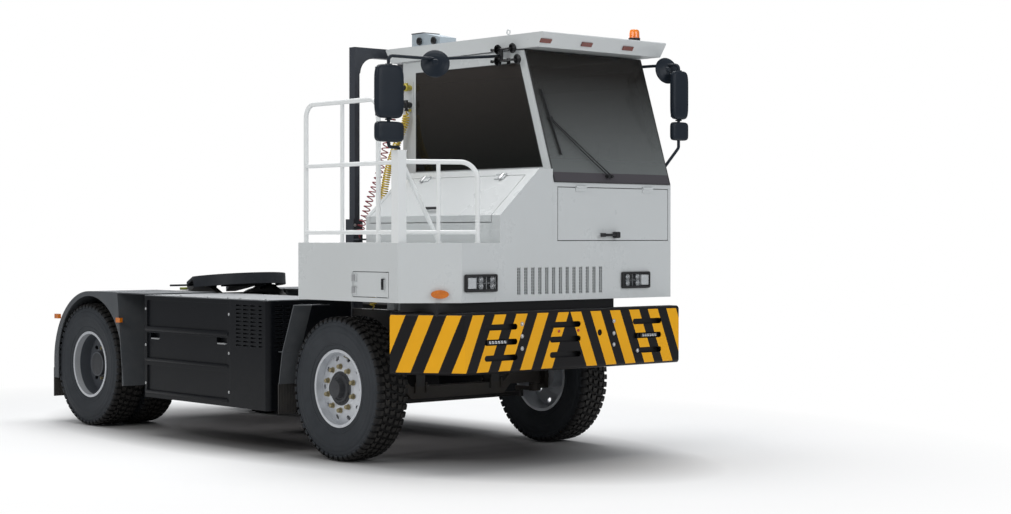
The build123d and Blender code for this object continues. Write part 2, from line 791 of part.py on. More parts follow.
# Rear door: sliding leaf outside the rear wall, carried on two rails
door_sheet = 30
door_lap = 25
door_track = 14
door_rear_gap = 8
door_travel = 470
door_rail_height = 24
leaf_x = (cab_rear - door_rear_gap - door_sheet, cab_rear - door_rear_gap)
leaf_y = (door_y[0] - door_lap, door_y[1] + door_lap)
leaf_z = (door_z[0] - door_lap, door_z[1] + door_lap)
door_window_y = (224, 684)
door_window_z = (2300, 3010)
rear_door = block(leaf_x[0], leaf_x[1], leaf_y[0], leaf_y[1], leaf_z[0], leaf_z[1])
rear_door -= block(leaf_x[0] - overrun, leaf_x[1] + overrun, door_window_y[0], door_window_y[1],
                   door_window_z[0], door_window_z[1])
pull_y = leaf_y[0] + 2 * door_lap
pull_z = 2150
pull_length = 220
for end in (-1, 1):
    foot_z = pull_z + end * pull_length / 2
    rear_door += bar(leaf_x[0] - grip_stand, leaf_x[0], pull_y, foot_z, grip_radius)
rear_door += rod((leaf_x[0] - grip_stand, pull_y, pull_z - pull_length / 2 - grip_radius),
                 (leaf_x[0] - grip_stand, pull_y, pull_z + pull_length / 2 + grip_radius), grip_radius)
put("rear_door", rear_door)
door_glass = block(leaf_x[0] + glass_thickness, leaf_x[0] + 2 * glass_thickness, door_window_y[0] + seat_gap,
                   door_window_y[1] - seat_gap, door_window_z[0] + seat_gap, door_window_z[1] - seat_gap)
put("rear_door_glass", door_glass)
track_low_y = leaf_y[0] - door_track
track_high_y = cab_left - door_track
tracks = []
for rail_z in (leaf_z[0] - seat_gap - door_rail_height, leaf_z[1] + seat_gap):
    tracks.append(block(leaf_x[0], cab_rear, track_low_y, track_high_y, rail_z, rail_z + door_rail_height))
put("door_tracks", *tracks)

# Dashboard with the steering column and wheel, and the driver's seat
dash_depth = 300
dash_low = 2010
dash_top = 2330
dash_rear = cab_front - compartment_depth - bulkhead - dash_depth
driver_y = 620
wheel_tilt = 32
steer_wheel_radius = 225
steer_rim_radius = 15
steer_wheel_x = 470
steer_wheel_z = 2420
steer_spokes = 3
dash_front = cab_front - compartment_depth - bulkhead
dash_profile = [
    (dash_rear, dash_low),
    (dash_front, dash_low),
    (dash_front, dash_top - bulkhead * 2),
    (dash_front - dash_depth / 2, dash_top),
    (dash_rear, dash_top - bulkhead * 3),
]
dashboard = side_plate(dash_profile, cab_inner_right + seat_gap, cab_inner_left - seat_gap)
steer_place = Pos(steer_wheel_x, driver_y, steer_wheel_z) * Rot(0, -wheel_tilt, 0)
dashboard += steer_place * Torus(steer_wheel_radius, steer_rim_radius)
dashboard += steer_place * Cylinder(steer_rim_radius * 4, steer_rim_radius * 2)
for index in range(steer_spokes):
    spoke_turn = Rot(0, 0, index * 360 / steer_spokes)
    spoke = Pos(steer_wheel_radius / 2, 0, 0) * Box(
        steer_wheel_radius, steer_rim_radius * 2, steer_rim_radius)
    dashboard += steer_place * spoke_turn * spoke
column_end = (steer_place * Pos(0, 0, -dash_depth)).position
dashboard += rod((column_end.X, column_end.Y, column_end.Z),
                 (steer_wheel_x, driver_y, steer_wheel_z), steer_rim_radius * 2)
put("dashboard", dashboard)

seat_x = -80
seat_depth = 480
seat_width = 500
seat_thickness = 110
seat_z = 2090
seat_back_height = 640
seat_back_lean = 90
seat_back_thickness = 110
seat_base_half = 170
seat_top = seat_z + seat_thickness
cushion = block(seat_x - seat_depth / 2, seat_x + seat_depth / 2, driver_y - seat_width / 2,
                driver_y + seat_width / 2, seat_z, seat_top)
cushion = fillet(cushion.edges(), radius=seat_thickness / 3)
back_low_x = seat_x - seat_depth / 2
backrest = side_plate(
    [
        (back_low_x, seat_z),
        (back_low_x + seat_back_thickness, seat_z),
        (back_low_x + seat_back_thickness - seat_back_lean, seat_top + seat_back_height),
        (back_low_x - seat_back_lean, seat_top + seat_back_height),
    ],
    driver_y - seat_width / 2 + seat_back_lean / 4, driver_y + seat_width / 2 - seat_back_lean / 4,
)
backrest = fillet(backrest.edges(), radius=seat_back_thickness / 4)
pedestal = block(seat_x - seat_base_half, seat_x + seat_base_half, driver_y - seat_base_half,
                 driver_y + seat_base_half, sill_z, seat_z + seat_thickness / 2)
put("seat", cushion + backrest + pedestal)

# Guard rails round the deck, welded to the square mirror column
tube_radius = 18
rail_bar_radius = 16.5
rail_post_radius = 15
rail_y = -1250
rail_low_z = 1738
rail_mid_z = 2245
rail_high_z = 2715
rear_rail_x = -284
rear_post_places = (180, 620)
rail_bend = 100
column_x = (805, 883)
column_y = (-1275, -1197)
column_top = 2328
front_rail_end = (1135, -735)
front_rail_top = 2250
front_bend = 130
column_mid_x = (column_x[0] + column_x[1]) / 2
column_mid_y = (column_y[0] + column_y[1]) / 2
rails = block(column_x[0], column_x[1], column_y[0], column_y[1], deck_top, column_top)
rails += tube_path(
    [
        (rear_rail_x, rail_y, deck_top),
        (rear_rail_x, rail_y, rail_high_z),
        (rear_post_places[1], rail_y, rail_high_z),
        (rear_post_places[1], rail_y, deck_top),
    ],
    [rail_bend, rail_bend], tube_radius,
)
rails += rod((rear_post_places[0], rail_y, deck_top), (rear_post_places[0], rail_y, rail_high_z),
             rail_post_radius)
for height in (rail_low_z, rail_mid_z):
    rails += bar(rear_rail_x, column_mid_x, rail_y, height, rail_bar_radius)
front_run = Vector(front_rail_end[0] - column_mid_x, front_rail_end[1] - column_mid_y)
front_middle = (column_mid_x + front_run.X / 2, column_mid_y + front_run.Y / 2)
front_foot = (front_rail_end[0], front_rail_end[1])
rails += tube_path(
    [
        (column_mid_x, column_mid_y, front_rail_top),
        (front_foot[0], front_foot[1], front_rail_top),
        (front_foot[0], front_foot[1], deck_top),
    ],
    [front_bend], tube_radius,
)
rails += rod((column_mid_x, column_mid_y, rail_low_z), (front_foot[0], front_foot[1], rail_low_z),
             rail_bar_radius)
rails += rod((front_middle[0], front_middle[1], deck_top), (front_middle[0], front_middle[1], front_rail_top),
             rail_post_radius)
put("guard_rails", rails)

# Hose gantry: two posts on a cross member, joined by a beam with curved gussets
gantry_post = (75, 50)
gantry_y = 286
gantry_top = 3272
gantry_beam = 80
gantry_sleeve = 22
sleeve_top = 1850
gusset_radius = 140
gusset_cut_radius = 132
gantry_base = frame_top - member_drop
post_x = (gantry_x - gantry_post[0] / 2, gantry_x + gantry_post[0] / 2)
gantry = block(post_x[0], post_x[1], -gantry_y - gantry_post[1] / 2, gantry_y + gantry_post[1] / 2,
               gantry_top - gantry_beam, gantry_top)
inner_y = gantry_y - gantry_post[1] / 2
beam_low = gantry_top - gantry_beam
for side in (-1, 1):
    y_low = side * gantry_y - gantry_post[1] / 2
    gantry += block(post_x[0], post_x[1], y_low, y_low + gantry_post[1], gantry_base, gantry_top)
    gantry += block(post_x[0] - gantry_sleeve, post_x[1] + gantry_sleeve / 2, y_low - gantry_sleeve,
                    y_low + gantry_post[1] + gantry_sleeve, gantry_base, sleeve_top)
    corner = cross_plate(
        [
            (side * inner_y, beam_low),
            (side * (inner_y - gusset_radius), beam_low),
            (side * inner_y, beam_low - gusset_radius),
        ],
        post_x[0], post_x[1],
    )
    gantry += corner
    gantry -= bar(post_x[0] - overrun, post_x[1] + overrun, side * (inner_y - gusset_radius),
                  beam_low - gusset_radius, gusset_cut_radius)
hose_shelf = (72, 80)
hose_shelf_y = -292
hose_shelf_z = 1690
hose_shelf_thickness = 14
shelf_x = post_x[1] + gantry_sleeve / 2
gantry += block(shelf_x, shelf_x + hose_shelf[0], hose_shelf_y - hose_shelf[1] / 2,
                hose_shelf_y + hose_shelf[1] / 2, hose_shelf_z - hose_shelf_thickness, hose_shelf_z)
put("gantry", gantry)

# Mirrors: two-part housings on tube arms, with a round convex mirror on each arm
mirror_width = 250
mirror_depth = 70
mirror_tall = (2558, 2945)
mirror_small = (2388, 2536)
mirror_corner = 28
arm_radius = 12.5
right_mirror_x = 850
left_mirror_x = 1162
left_mirror_width = 180
left_lift = 88
round_radius = 107
round_taper = 50
round_depth = 36
mirror_outer = mirror_span / 2
foot_stand = 14
foot_radius = 26


def mirror_set(side, centre_x, width, lift, arm_points, stay_points, feet, round_centre, round_toward):
    y_outer = side * mirror_outer
    y_inner = side * (mirror_outer - width)
    y_low = min(y_outer, y_inner)
    y_high = max(y_outer, y_inner)
    pieces = None
    for span in (mirror_tall, mirror_small):
        shell = block(centre_x - mirror_depth / 2, centre_x + mirror_depth / 2, y_low, y_high,
                      span[0] + lift, span[1] + lift)
        shell = fillet(shell.edges(), radius=mirror_corner)
        pieces = shell if pieces is None else pieces + shell
    middle_y = side * (mirror_outer - width / 2)
    pieces += rod((centre_x, middle_y, mirror_small[1] - mirror_corner + lift),
                  (centre_x, middle_y, mirror_tall[0] + mirror_corner + lift), arm_radius)
    for points in (arm_points, stay_points):
        for start, end in zip(points[:-1], points[1:]):
            pieces += rod(start, end, arm_radius)
        for bend in points[1:-1]:
            pieces += Pos(*bend) * Sphere(arm_radius)
    for foot in feet:
        foot_end = foot[1] + side * foot_stand
        pieces += cross_disc(foot[0], min(foot[1], foot_end), max(foot[1], foot_end), foot[2], foot_radius)
    disc_axis = Vector(*round_toward)
    disc_plane = Plane(origin=Vector(*round_centre), z_dir=disc_axis)
    pieces += extrude(disc_plane * Circle(round_radius), amount=round_depth, taper=round_taper)
    return pieces


middle_right = -(mirror_outer - mirror_width / 2)
arm_high = 3010
arm_root_right = (557, cab_right - foot_stand, 3108)
round_right = (868, -915, 2974)
round_right_back = (0.75, -0.6, 0.3)
right_mirror = mirror_set(
    -1, right_mirror_x, mirror_width, 0,
    [arm_root_right, (round_right[0], round_right[1], arm_high), (right_mirror_x, middle_right, arm_high),
     (right_mirror_x, middle_right, mirror_tall[1] - mirror_corner)],
    [(right_mirror_x, middle_right, mirror_small[0] + mirror_corner),
     (right_mirror_x, middle_right, column_top + 2 * arm_radius),
     (column_mid_x, column_mid_y, column_top + 2 * arm_radius),
     (column_mid_x, column_mid_y, column_top + seat_gap)],
    [(arm_root_right[0], cab_right - seat_gap, arm_root_right[2])],
    round_right, round_right_back,
)
middle_left = mirror_outer - left_mirror_width / 2
arm_high_left = 3085
arm_root_left = (800, cab_left + foot_stand, arm_high_left)
round_left = (1060, 1335, 3040)
round_left_back = (1, -0.2, 0.2)
left_stay_foot = (1060, cab_left + foot_stand, 2240)
left_stay_low = 2330
left_mirror = mirror_set(
    1, left_mirror_x, left_mirror_width, left_lift,
    [arm_root_left, (round_left[0], round_left[1], arm_high_left),
     (left_mirror_x, middle_left, arm_high_left),
     (left_mirror_x, middle_left, mirror_tall[1] + left_lift - mirror_corner)],
    [(left_mirror_x, middle_left, mirror_small[0] + left_lift + mirror_corner),
     (left_mirror_x, middle_left, left_stay_low + left_lift), left_stay_foot],
    [(arm_root_left[0], cab_left + seat_gap, arm_root_left[2]),
     (left_stay_foot[0], cab_left + seat_gap, left_stay_foot[2])],
    round_left, round_left_back,
)
put("mirrors", right_mirror, left_mirror)

# Horns: four trumpet bells in two pairs below the roof's right edge
horn_bell = 40
horn_throat = 9
horn_y = -86
horn_rear = 545
horn_rows_z = (3062, 3150)
horn_mouths = ((620, 845), (620, 790))
horn_bracket = (650, 680)
horn_post = 8
bell_length = 52
horn_post_y = cab_right - roof_side - seat_gap
horns = block(horn_bracket[0], horn_bracket[1], horn_post_y - horn_post, cab_right - seat_gap,
              horn_rows_z[0] - horn_throat, horn_rows_z[0] + horn_throat)
horns += block(horn_bracket[0], horn_bracket[1], horn_y - horn_throat / 2, horn_post_y,
               horn_rows_z[0] - horn_throat / 2, horn_rows_z[1] + horn_throat / 2)
for row_z, mouths in zip(horn_rows_z, horn_mouths):
    horns += bar(horn_rear, mouths[1] - bell_length, horn_y, row_z, horn_throat)
    for mouth_x in mouths:
        horns += Pos(mouth_x - bell_length / 2, horn_y, row_z) * Rot(0, 90, 0) * Cone(
            horn_throat, horn_bell, bell_length)
put("horns", horns)

# Roof unit behind with two round lamps in its side, and the orange beacon
unit_x = (-594, -230)
unit_y = (40, 210)
unit_high = 112
unit_low = 66
unit_crest_share = 0.42
unit_crest_x = unit_x[0] + unit_crest_share * (unit_x[1] - unit_x[0])
roof_unit = side_plate(
    [
        (unit_x[0], roof_top),
        (unit_x[1], roof_top),
        (unit_x[1], roof_top + unit_low),
        (unit_crest_x, roof_top + unit_high),
        (unit_x[0], roof_top + unit_high),
    ],
    unit_y[0], unit_y[1],
)
unit_lamp_radius = 28
unit_lamp_stand = 8
unit_lamps = ((-485, 3308), (-300, 3300))
for lamp_x, lamp_z in unit_lamps:
    roof_unit += cross_disc(lamp_x, unit_y[0] - unit_lamp_stand, unit_y[0], lamp_z, unit_lamp_radius)
put("roof_unit", roof_unit)

beacon_x = 900
beacon_y = 1130
beacon_radius = 54
beacon_base = 30
beacon_height = 112
beacon = Pos(beacon_x, beacon_y, roof_top + beacon_base / 2) * Cylinder(beacon_radius, beacon_base)
beacon += Pos(beacon_x, beacon_y, roof_top + (beacon_base + beacon_height) / 2) * Cone(
    beacon_radius - beacon_base / 4, beacon_radius - beacon_base / 2, beacon_height - beacon_base)
put("beacon", beacon)

# Lamps: headlamps on the front, amber and red markers
lamp_stand = 16
headlamp_z = (1302, 1432)
headlamp_places_y = ((-893, -580), (712, 1025))
headlamps = []
for lamp_y in headlamp_places_y:
    lamp = block(cab_front, cab_front + lamp_stand, lamp_y[0], lamp_y[1], headlamp_z[0], headlamp_z[1])
    lamp = fillet(lamp.edges().filter_by(Axis.X), radius=lamp_stand)
    lamp = chamfer(lamp.faces().sort_by(Axis.X)[-1].edges(), length=lamp_stand / 3)
    headlamps.append(lamp)
put("headlamps", *headlamps)

marker_share = 0.655
marker_z = 1289
marker_length = 130
marker_height = 62
marker_depth = 24
marker_x = corner_x + marker_share * corner_run.X
marker_y = -side_y + marker_share * corner_run.Y
marker_plane = Plane(origin=(marker_x, marker_y, marker_z), x_dir=(corner_run.X, corner_run.Y, 0),
                     z_dir=(corner_run.Y, -corner_run.X, 0))
marker = extrude(marker_plane * Ellipse(marker_length / 2, marker_height / 2), amount=marker_depth)
side_lamp_length = 70
side_lamp_height = 42
side_lamp_depth = 30
side_lamp_z = 973
side_lamp_places_x = (-4215, -3105)
amber_lamps = [marker]
for side in (-1, 1):
    y_low = side * (arch_outer_y + side_lamp_depth / 2) - side_lamp_depth / 2
    for low_x in side_lamp_places_x:
        amber_lamps.append(block(low_x, low_x + side_lamp_length, y_low, y_low + side_lamp_depth,
                                 side_lamp_z - side_lamp_height / 2, side_lamp_z + side_lamp_height / 2))
put("amber_lamps", *amber_lamps)

visor_lamp_width = 110
visor_lamp_height = 34
visor_lamp_places = (15, 447, 897)
visor_run = Vector(visor_top_x - visor_low_x, roof_top - roof_bottom - visor_drop)
visor_share = 0.42
visor_lamps = []
visor_x = visor_low_x + visor_share * visor_run.X
visor_z = roof_bottom + visor_drop + visor_share * visor_run.Y
for place in visor_lamp_places:
    lamp_plane = Plane(origin=(visor_x, place, visor_z), x_dir=(0, 1, 0),
                       z_dir=(visor_run.Y, 0, -visor_run.X))
    visor_lamps.append(extrude(lamp_plane * Rectangle(visor_lamp_width, visor_lamp_height), amount=overrun))
put("visor_lamps", *visor_lamps)

# Wiper parked across the windscreen
wiper_y = 602
wiper_z = 2172
wiper_top_y = 84
wiper_top_z = 2606
wiper_radius = 7
wiper_arm_radius = 5.6
wiper_clear = 22
screen_back = wiper_clear + glass_thickness
pivot_x = screen_x(wiper_z) + screen_back
wiper = rod((pivot_x, wiper_y, wiper_z), (screen_x(wiper_top_z) + screen_back, wiper_top_y, wiper_top_z),
            wiper_arm_radius)
blade_low_z = 2329
blade_low_y = 116
blade_high_z = 2834
blade_high_y = 58
wiper += rod((screen_x(blade_low_z) + screen_back, blade_low_y, blade_low_z),
             (screen_x(blade_high_z) + screen_back, blade_high_y, blade_high_z), wiper_radius)
wiper_boss = 2 * wiper_radius
wiper_foot_x = screen_x(wiper_z - wiper_boss) + glass_thickness + 2 * seat_gap
wiper += rod((wiper_foot_x, wiper_y, wiper_z), (pivot_x + wiper_boss, wiper_y, wiper_z), wiper_boss)
put("wiper", wiper)

# Fifth wheel: base with two pivot brackets, and the rocking plate, resting a little tilted back
fifth_x = -3140
fifth_top = 1345
fifth_pivot_z = 1262
fifth_rest_tilt = 5
fifth_pin_radius = 32
fifth_eye_radius = 48
fifth_lug_radius = 48
fifth_base_length = 620
fifth_base_thickness = 34
fifth_web_top = 1192
fifth_web = 30
fifth_ear_y = 330
fifth_ear_width = 70
fifth_ear_length = 170
fifth_ear_shoulder = 1160
plate_radius = 455
plate_thick = 26
plate_skirt = 46
ramp_thick = 42
ramp_start = 20
ramp_angle = 12
ramp_outline = ((200, 409), (310, 333), (400, 250))
throat_radius = 28
throat_waist = 152
throat_waist_half = 39
throat_mouth = 150
kingpin_offset = 40
front_rib_x = 110
front_rib_half = 240
front_rib_low = 1240
pull_rod_x = 173
pull_rod_z = 1276
pull_rod_radius = 9
pull_rod_ends = (-330, -600)
base = block(fifth_x - fifth_base_length / 2, fifth_x + fifth_base_length / 2, -rail_outer, rail_outer,
             frame_top, frame_top + fifth_base_thickness)
for side in (-1, 1):
    ear_low = side * fifth_ear_y - fifth_ear_width / 2
    ear = side_plate(
        [
            (fifth_x - fifth_base_length / 2, frame_top),
            (fifth_x + fifth_base_length / 2, frame_top),
            (fifth_x + fifth_base_length / 2, fifth_ear_shoulder),
            (fifth_x + fifth_ear_length / 2, fifth_pivot_z),
            (fifth_x - fifth_ear_length / 2, fifth_pivot_z),
            (fifth_x - fifth_base_length / 2, fifth_ear_shoulder),
        ],
        ear_low, ear_low + fifth_ear_width,
    )
    ear += cross_disc(fifth_x, ear_low, ear_low + fifth_ear_width, fifth_pivot_z, fifth_eye_radius)
    base += ear
    base -= cross_disc(fifth_x, ear_low - overrun, ear_low + fifth_ear_width + overrun, fifth_pivot_z,
                       fifth_pin_radius + seat_gap)
base += block(fifth_x - fifth_web / 2, fifth_x + fifth_web / 2, -fifth_ear_y, fifth_ear_y,
              frame_top, fifth_web_top)
put("fifth_wheel_base", base)

plate_low = fifth_top - plate_thick
skirt_low = fifth_top - plate_skirt
bend_x = fifth_x - ramp_start
front_plate = Pos(fifth_x, 0, plate_low + plate_thick / 2) * Cylinder(plate_radius, plate_thick)
front_plate += Pos(fifth_x, 0, (skirt_low + plate_low) / 2) * (
    Cylinder(plate_radius, plate_low - skirt_low)
    - Cylinder(plate_radius - plate_thick, plate_low - skirt_low)
)
front_plate -= block(fifth_x - 2 * plate_radius, bend_x, -plate_radius, plate_radius,
                     skirt_low - overrun, fifth_top + overrun)
ramp_end = fifth_x - ramp_outline[-1][0]
ramp_drop = (bend_x - ramp_end) * math.tan(math.radians(ramp_angle))
outline_half = math.sqrt(plate_radius ** 2 - ramp_start ** 2)
outline_points = [(bend_x, outline_half)]
for back, half in ramp_outline:
    outline_points.append((fifth_x - back, half))
for back, half in reversed(ramp_outline):
    outline_points.append((fifth_x - back, -half))
outline_points.append((bend_x, -outline_half))
ramp = level_plate(outline_points, fifth_pivot_z - plate_radius, fifth_top + overrun) & side_plate(
    [
        (bend_x, fifth_top),
        (bend_x, plate_low),
        (ramp_end, fifth_top - ramp_drop - ramp_thick),
        (ramp_end, fifth_top - ramp_drop),
    ],
    -plate_radius, plate_radius,
)
fifth_plate = front_plate + ramp
fifth_plate += block(fifth_x + front_rib_x, fifth_x + front_rib_x + plate_thick, -front_rib_half,
                     front_rib_half, front_rib_low, plate_low)
kingpin_x = fifth_x + kingpin_offset
fifth_plate -= rod((kingpin_x, 0, skirt_low - ramp_thick), (kingpin_x, 0, fifth_top + overrun), throat_radius)
fifth_plate -= level_plate(
    [
        (kingpin_x, -throat_radius),
        (kingpin_x, throat_radius),
        (fifth_x - throat_waist, throat_waist_half),
        (ramp_end - overrun, throat_mouth),
        (ramp_end - overrun, -throat_mouth),
        (fifth_x - throat_waist, -throat_waist_half),
    ],
    fifth_pivot_z - plate_radius, fifth_top + overrun,
)
for side in (-1, 1):
    lug_low = side * (fifth_ear_y - fifth_ear_width) - fifth_ear_width / 4
    lug_high = lug_low + fifth_ear_width / 2
    lug = block(fifth_x - fifth_ear_length / 2, fifth_x + fifth_ear_length / 2, lug_low, lug_high,
                fifth_pivot_z, plate_low)
    lug += cross_disc(fifth_x, lug_low, lug_high, fifth_pivot_z, fifth_lug_radius)
    fifth_plate += lug
    pin_low = min(side * (fifth_ear_y + fifth_ear_width / 2), lug_low)
    pin_high = max(side * (fifth_ear_y + fifth_ear_width / 2), lug_high)
    fifth_plate += cross_disc(fifth_x, pin_low, pin_high, fifth_pivot_z, fifth_pin_radius)
fifth_plate += rod((fifth_x - pull_rod_x, pull_rod_ends[0], pull_rod_z),
                   (fifth_x - pull_rod_x, pull_rod_ends[1], pull_rod_z), pull_rod_radius)
fifth_plate = Pos(fifth_x, 0, fifth_pivot_z) * Rot(0, -fifth_rest_tilt, 0) * (
    Pos(-fifth_x, 0, -fifth_pivot_z) * fifth_plate)
put("fifth_wheel_plate", fifth_plate)


# Wheels: tyres as rings, rims with their hubs, turned about the wheel's own axis
tyre_width = 290
rim_flange = 298
rim_seat = 288
rim_wall = 12
rim_half = 112
tread_half = 118
tyre_shoulder = 532
tyre_bulge = 425
tread_crown = 6


def turned(outline_points, centre_x, centre_y, side):
    # Outline points are (distance outward along the axle, radius) pairs.
    points = []
    for along, radius in outline_points:
        points.append((centre_y + side * along, radius))
    plane = Plane(origin=(centre_x, 0, axle_z), x_dir=(0, 1, 0), z_dir=(1, 0, 0))
    axis = Axis((centre_x, 0, axle_z), (0, 1, 0))
    return revolve(plane * Polygon(*points, align=None), axis=axis)


def tyre(centre_x, centre_y):
    half = tyre_width / 2
    outline = [
        (-rim_half, rim_seat + seat_gap),
        (-rim_half, rim_flange + rim_wall),
        (-half, tyre_bulge),
        (-half + rim_wall, (tyre_bulge + tyre_shoulder) / 2),
        (-tread_half - rim_wall / 2, tyre_shoulder),
        (-tread_half, tyre_radius - tread_crown),
        (0, tyre_radius),
        (tread_half, tyre_radius - tread_crown),
        (tread_half + rim_wall / 2, tyre_shoulder),
        (half - rim_wall, (tyre_bulge + tyre_shoulder) / 2),
        (half, tyre_bulge),
        (rim_half, rim_flange + rim_wall),
        (rim_half, rim_seat + seat_gap),
    ]
    return turned(outline, centre_x, centre_y, 1)


def rim_ring(centre_x, centre_y, side, disc_out, disc_in, hub_bore):
    # The disc runs from the barrel at disc_in to its bolting face at disc_out.
    bolt_band = hub_bore + 5 * rim_wall
    outline = [
        (-rim_half - rim_wall / 2, rim_flange),
        (-rim_half, rim_flange),
        (-rim_half, rim_seat),
        (rim_half, rim_seat),
        (rim_half, rim_flange),
        (rim_half + rim_wall / 2, rim_flange),
        (rim_half + rim_wall / 2, rim_seat - rim_wall),
        (disc_in + rim_wall, rim_seat - rim_wall),
        (disc_out, bolt_band),
        (disc_out, hub_bore),
        (disc_out - rim_wall, hub_bore),
        (disc_out - rim_wall, bolt_band),
        (disc_in, rim_seat - rim_wall),
        (-rim_half - rim_wall / 2, rim_seat - rim_wall),
    ]
    return turned(outline, centre_x, centre_y, side)


stud_count = 10
stud_circle = 167
stud_radius = 15
stud_length = 34
hand_hole_count = 10
hand_hole_radius = 20
hand_hole_circle = 232
hub_radius = 108
hub_nose = 62
hub_nose_radius = 67


def wheel_studs(centre_x, face_y, side):
    studs = []
    for index in range(stud_count):
        angle = math.radians((index + 0.5) * 360 / stud_count)
        stud_x = centre_x + stud_circle * math.cos(angle)
        stud_z = axle_z + stud_circle * math.sin(angle)
        y_end = face_y + side * stud_length
        studs.append(rod((stud_x, face_y, stud_z), (stud_x, y_end, stud_z), stud_radius))
    return studs


def hand_holes(centre_x, y_low, y_high):
    holes = []
    for index in range(hand_hole_count):
        angle = math.radians(index * 360 / hand_hole_count)
        hole_x = centre_x + hand_hole_circle * math.cos(angle)
        hole_z = axle_z + hand_hole_circle * math.sin(angle)
        holes.append(cross_disc(hole_x, y_low, y_high, hole_z, hand_hole_radius))
    return holes


front_disc_out = 88
front_disc_in = 40
rear_disc_inset = -80
for side, name in ((-1, "right"), (1, "left")):
    centre_y = side * front_wheel_centre
    rim = rim_ring(0, centre_y, side, front_disc_out, front_disc_in, hub_radius)
    for hole in hand_holes(0, centre_y - rim_half, centre_y + rim_half):
        rim -= hole
    face_y = centre_y + side * front_disc_out
    hub_back = centre_y - side * rim_half / 2
    rim += cross_disc(0, min(hub_back, face_y), max(hub_back, face_y), axle_z, hub_radius)
    nose_end = face_y + side * hub_nose
    rim += cross_disc(0, min(face_y, nose_end), max(face_y, nose_end), axle_z, hub_nose_radius)
    for stud in wheel_studs(0, face_y - side * rim_wall / 2, side):
        rim += stud
    spindle_radius = 42
    rim -= cross_disc(0, min(hub_back - side * overrun, centre_y), max(hub_back - side * overrun, centre_y),
                      axle_z, spindle_radius + seat_gap)
    put(f"front_rim_{name}", rim)
    put(f"front_tyre_{name}", tyre(0, centre_y))

    outer_y = side * (rear_wheel_centre + twin_spacing / 2)
    inner_y = side * (rear_wheel_centre - twin_spacing / 2)
    rear_disc = (rear_disc_inset, rear_disc_inset + 2 * rim_wall)
    outer_rim = rim_ring(rear_axle_x, outer_y, side, *rear_disc, hub_radius)
    inner_rim = rim_ring(rear_axle_x, inner_y, -side, *rear_disc, hub_radius)
    for hole in hand_holes(rear_axle_x, outer_y - rim_half, outer_y + rim_half):
        outer_rim -= hole
    for hole in hand_holes(rear_axle_x, inner_y - rim_half, inner_y + rim_half):
        inner_rim -= hole
    outer_face = outer_y + side * rear_disc_inset
    hub_start = side * (rear_tube_end + seat_gap)
    hub_end = outer_face + side * 2 * hub_nose
    rims = outer_rim + inner_rim
    rims += cross_disc(rear_axle_x, min(hub_start, hub_end), max(hub_start, hub_end), axle_z, hub_radius)
    for stud in wheel_studs(rear_axle_x, outer_face - side * rim_wall / 2, side):
        rims += stud
    put(f"rear_rims_{name}", rims)
    put(f"rear_tyres_{name}", tyre(rear_axle_x, outer_y), tyre(rear_axle_x, inner_y))

# Steering: knuckles that turn on the kingpins, with an arm to the tie rod behind the axle
fork_thickness = 36
fork_half = 60
arm_back = 190
arm_thick = 30
arm_width = 46
tie_z = 395
pin_radius = 14
tie_radius = 20
eye_radius = 32
fork_gap = working_gap
knuckles = {}
for side, name in ((-1, "right"), (1, "left")):
    king_y = side * kingpin_centre
    hub_back = side * (front_wheel_centre - rim_half / 2)
    low_z = axle_z - axle_eye_height / 2 - fork_gap - fork_thickness
    high_z = axle_z + axle_eye_height / 2 + fork_gap
    fork_outer = king_y + side * fork_half
    fork_face = fork_outer + side * fork_thickness
    plate_y = (min(fork_outer, fork_face), max(fork_outer, fork_face))
    knuckle = block(-fork_half, fork_half, plate_y[0], plate_y[1], low_z, high_z + fork_thickness)
    ear_y = (min(king_y, fork_outer), max(king_y, fork_outer))
    for ear_low in (low_z, high_z):
        knuckle += block(-axle_eye_radius, axle_eye_radius, ear_y[0], ear_y[1], ear_low,
                         ear_low + fork_thickness)
        knuckle += rod((0, king_y, ear_low), (0, king_y, ear_low + fork_thickness), axle_eye_radius)
    knuckle += rod((0, king_y, low_z), (0, king_y, high_z + fork_thickness), kingpin_radius)
    spindle_end = hub_back + side * rim_half / 3
    knuckle += cross_disc(0, min(fork_outer, spindle_end), max(fork_outer, spindle_end), axle_z,
                          spindle_radius)
    arm_low = tie_z + eye_radius
    knuckle += block(-arm_back, 0, king_y - arm_width / 2, king_y + arm_width / 2, arm_low,
                     arm_low + arm_thick)
    knuckle += rod((-arm_back, king_y, arm_low), (-arm_back, king_y, arm_low + arm_thick),
                   arm_width / 2 + pin_radius)
    knuckle += rod((0, king_y, arm_low), (0, king_y, low_z + fork_thickness), axle_eye_radius)
    knuckle += rod((-arm_back, king_y, tie_z - eye_radius / 2), (-arm_back, king_y, arm_low), pin_radius)
    put(f"knuckle_{name}", knuckle)

tie_rod = cross_disc(-arm_back, -kingpin_centre, kingpin_centre, tie_z, tie_radius)
for side in (-1, 1):
    king_y = side * kingpin_centre
    tie_rod += rod((-arm_back, king_y, tie_z - eye_radius + fork_gap),
                   (-arm_back, king_y, tie_z + eye_radius - fork_gap), eye_radius)
for side in (-1, 1):
    king_y = side * kingpin_centre
    tie_rod -= rod((-arm_back, king_y, tie_z - 2 * eye_radius), (-arm_back, king_y, tie_z + 2 * eye_radius),
                   pin_radius + seat_gap)
put("tie_rod", tie_rod)

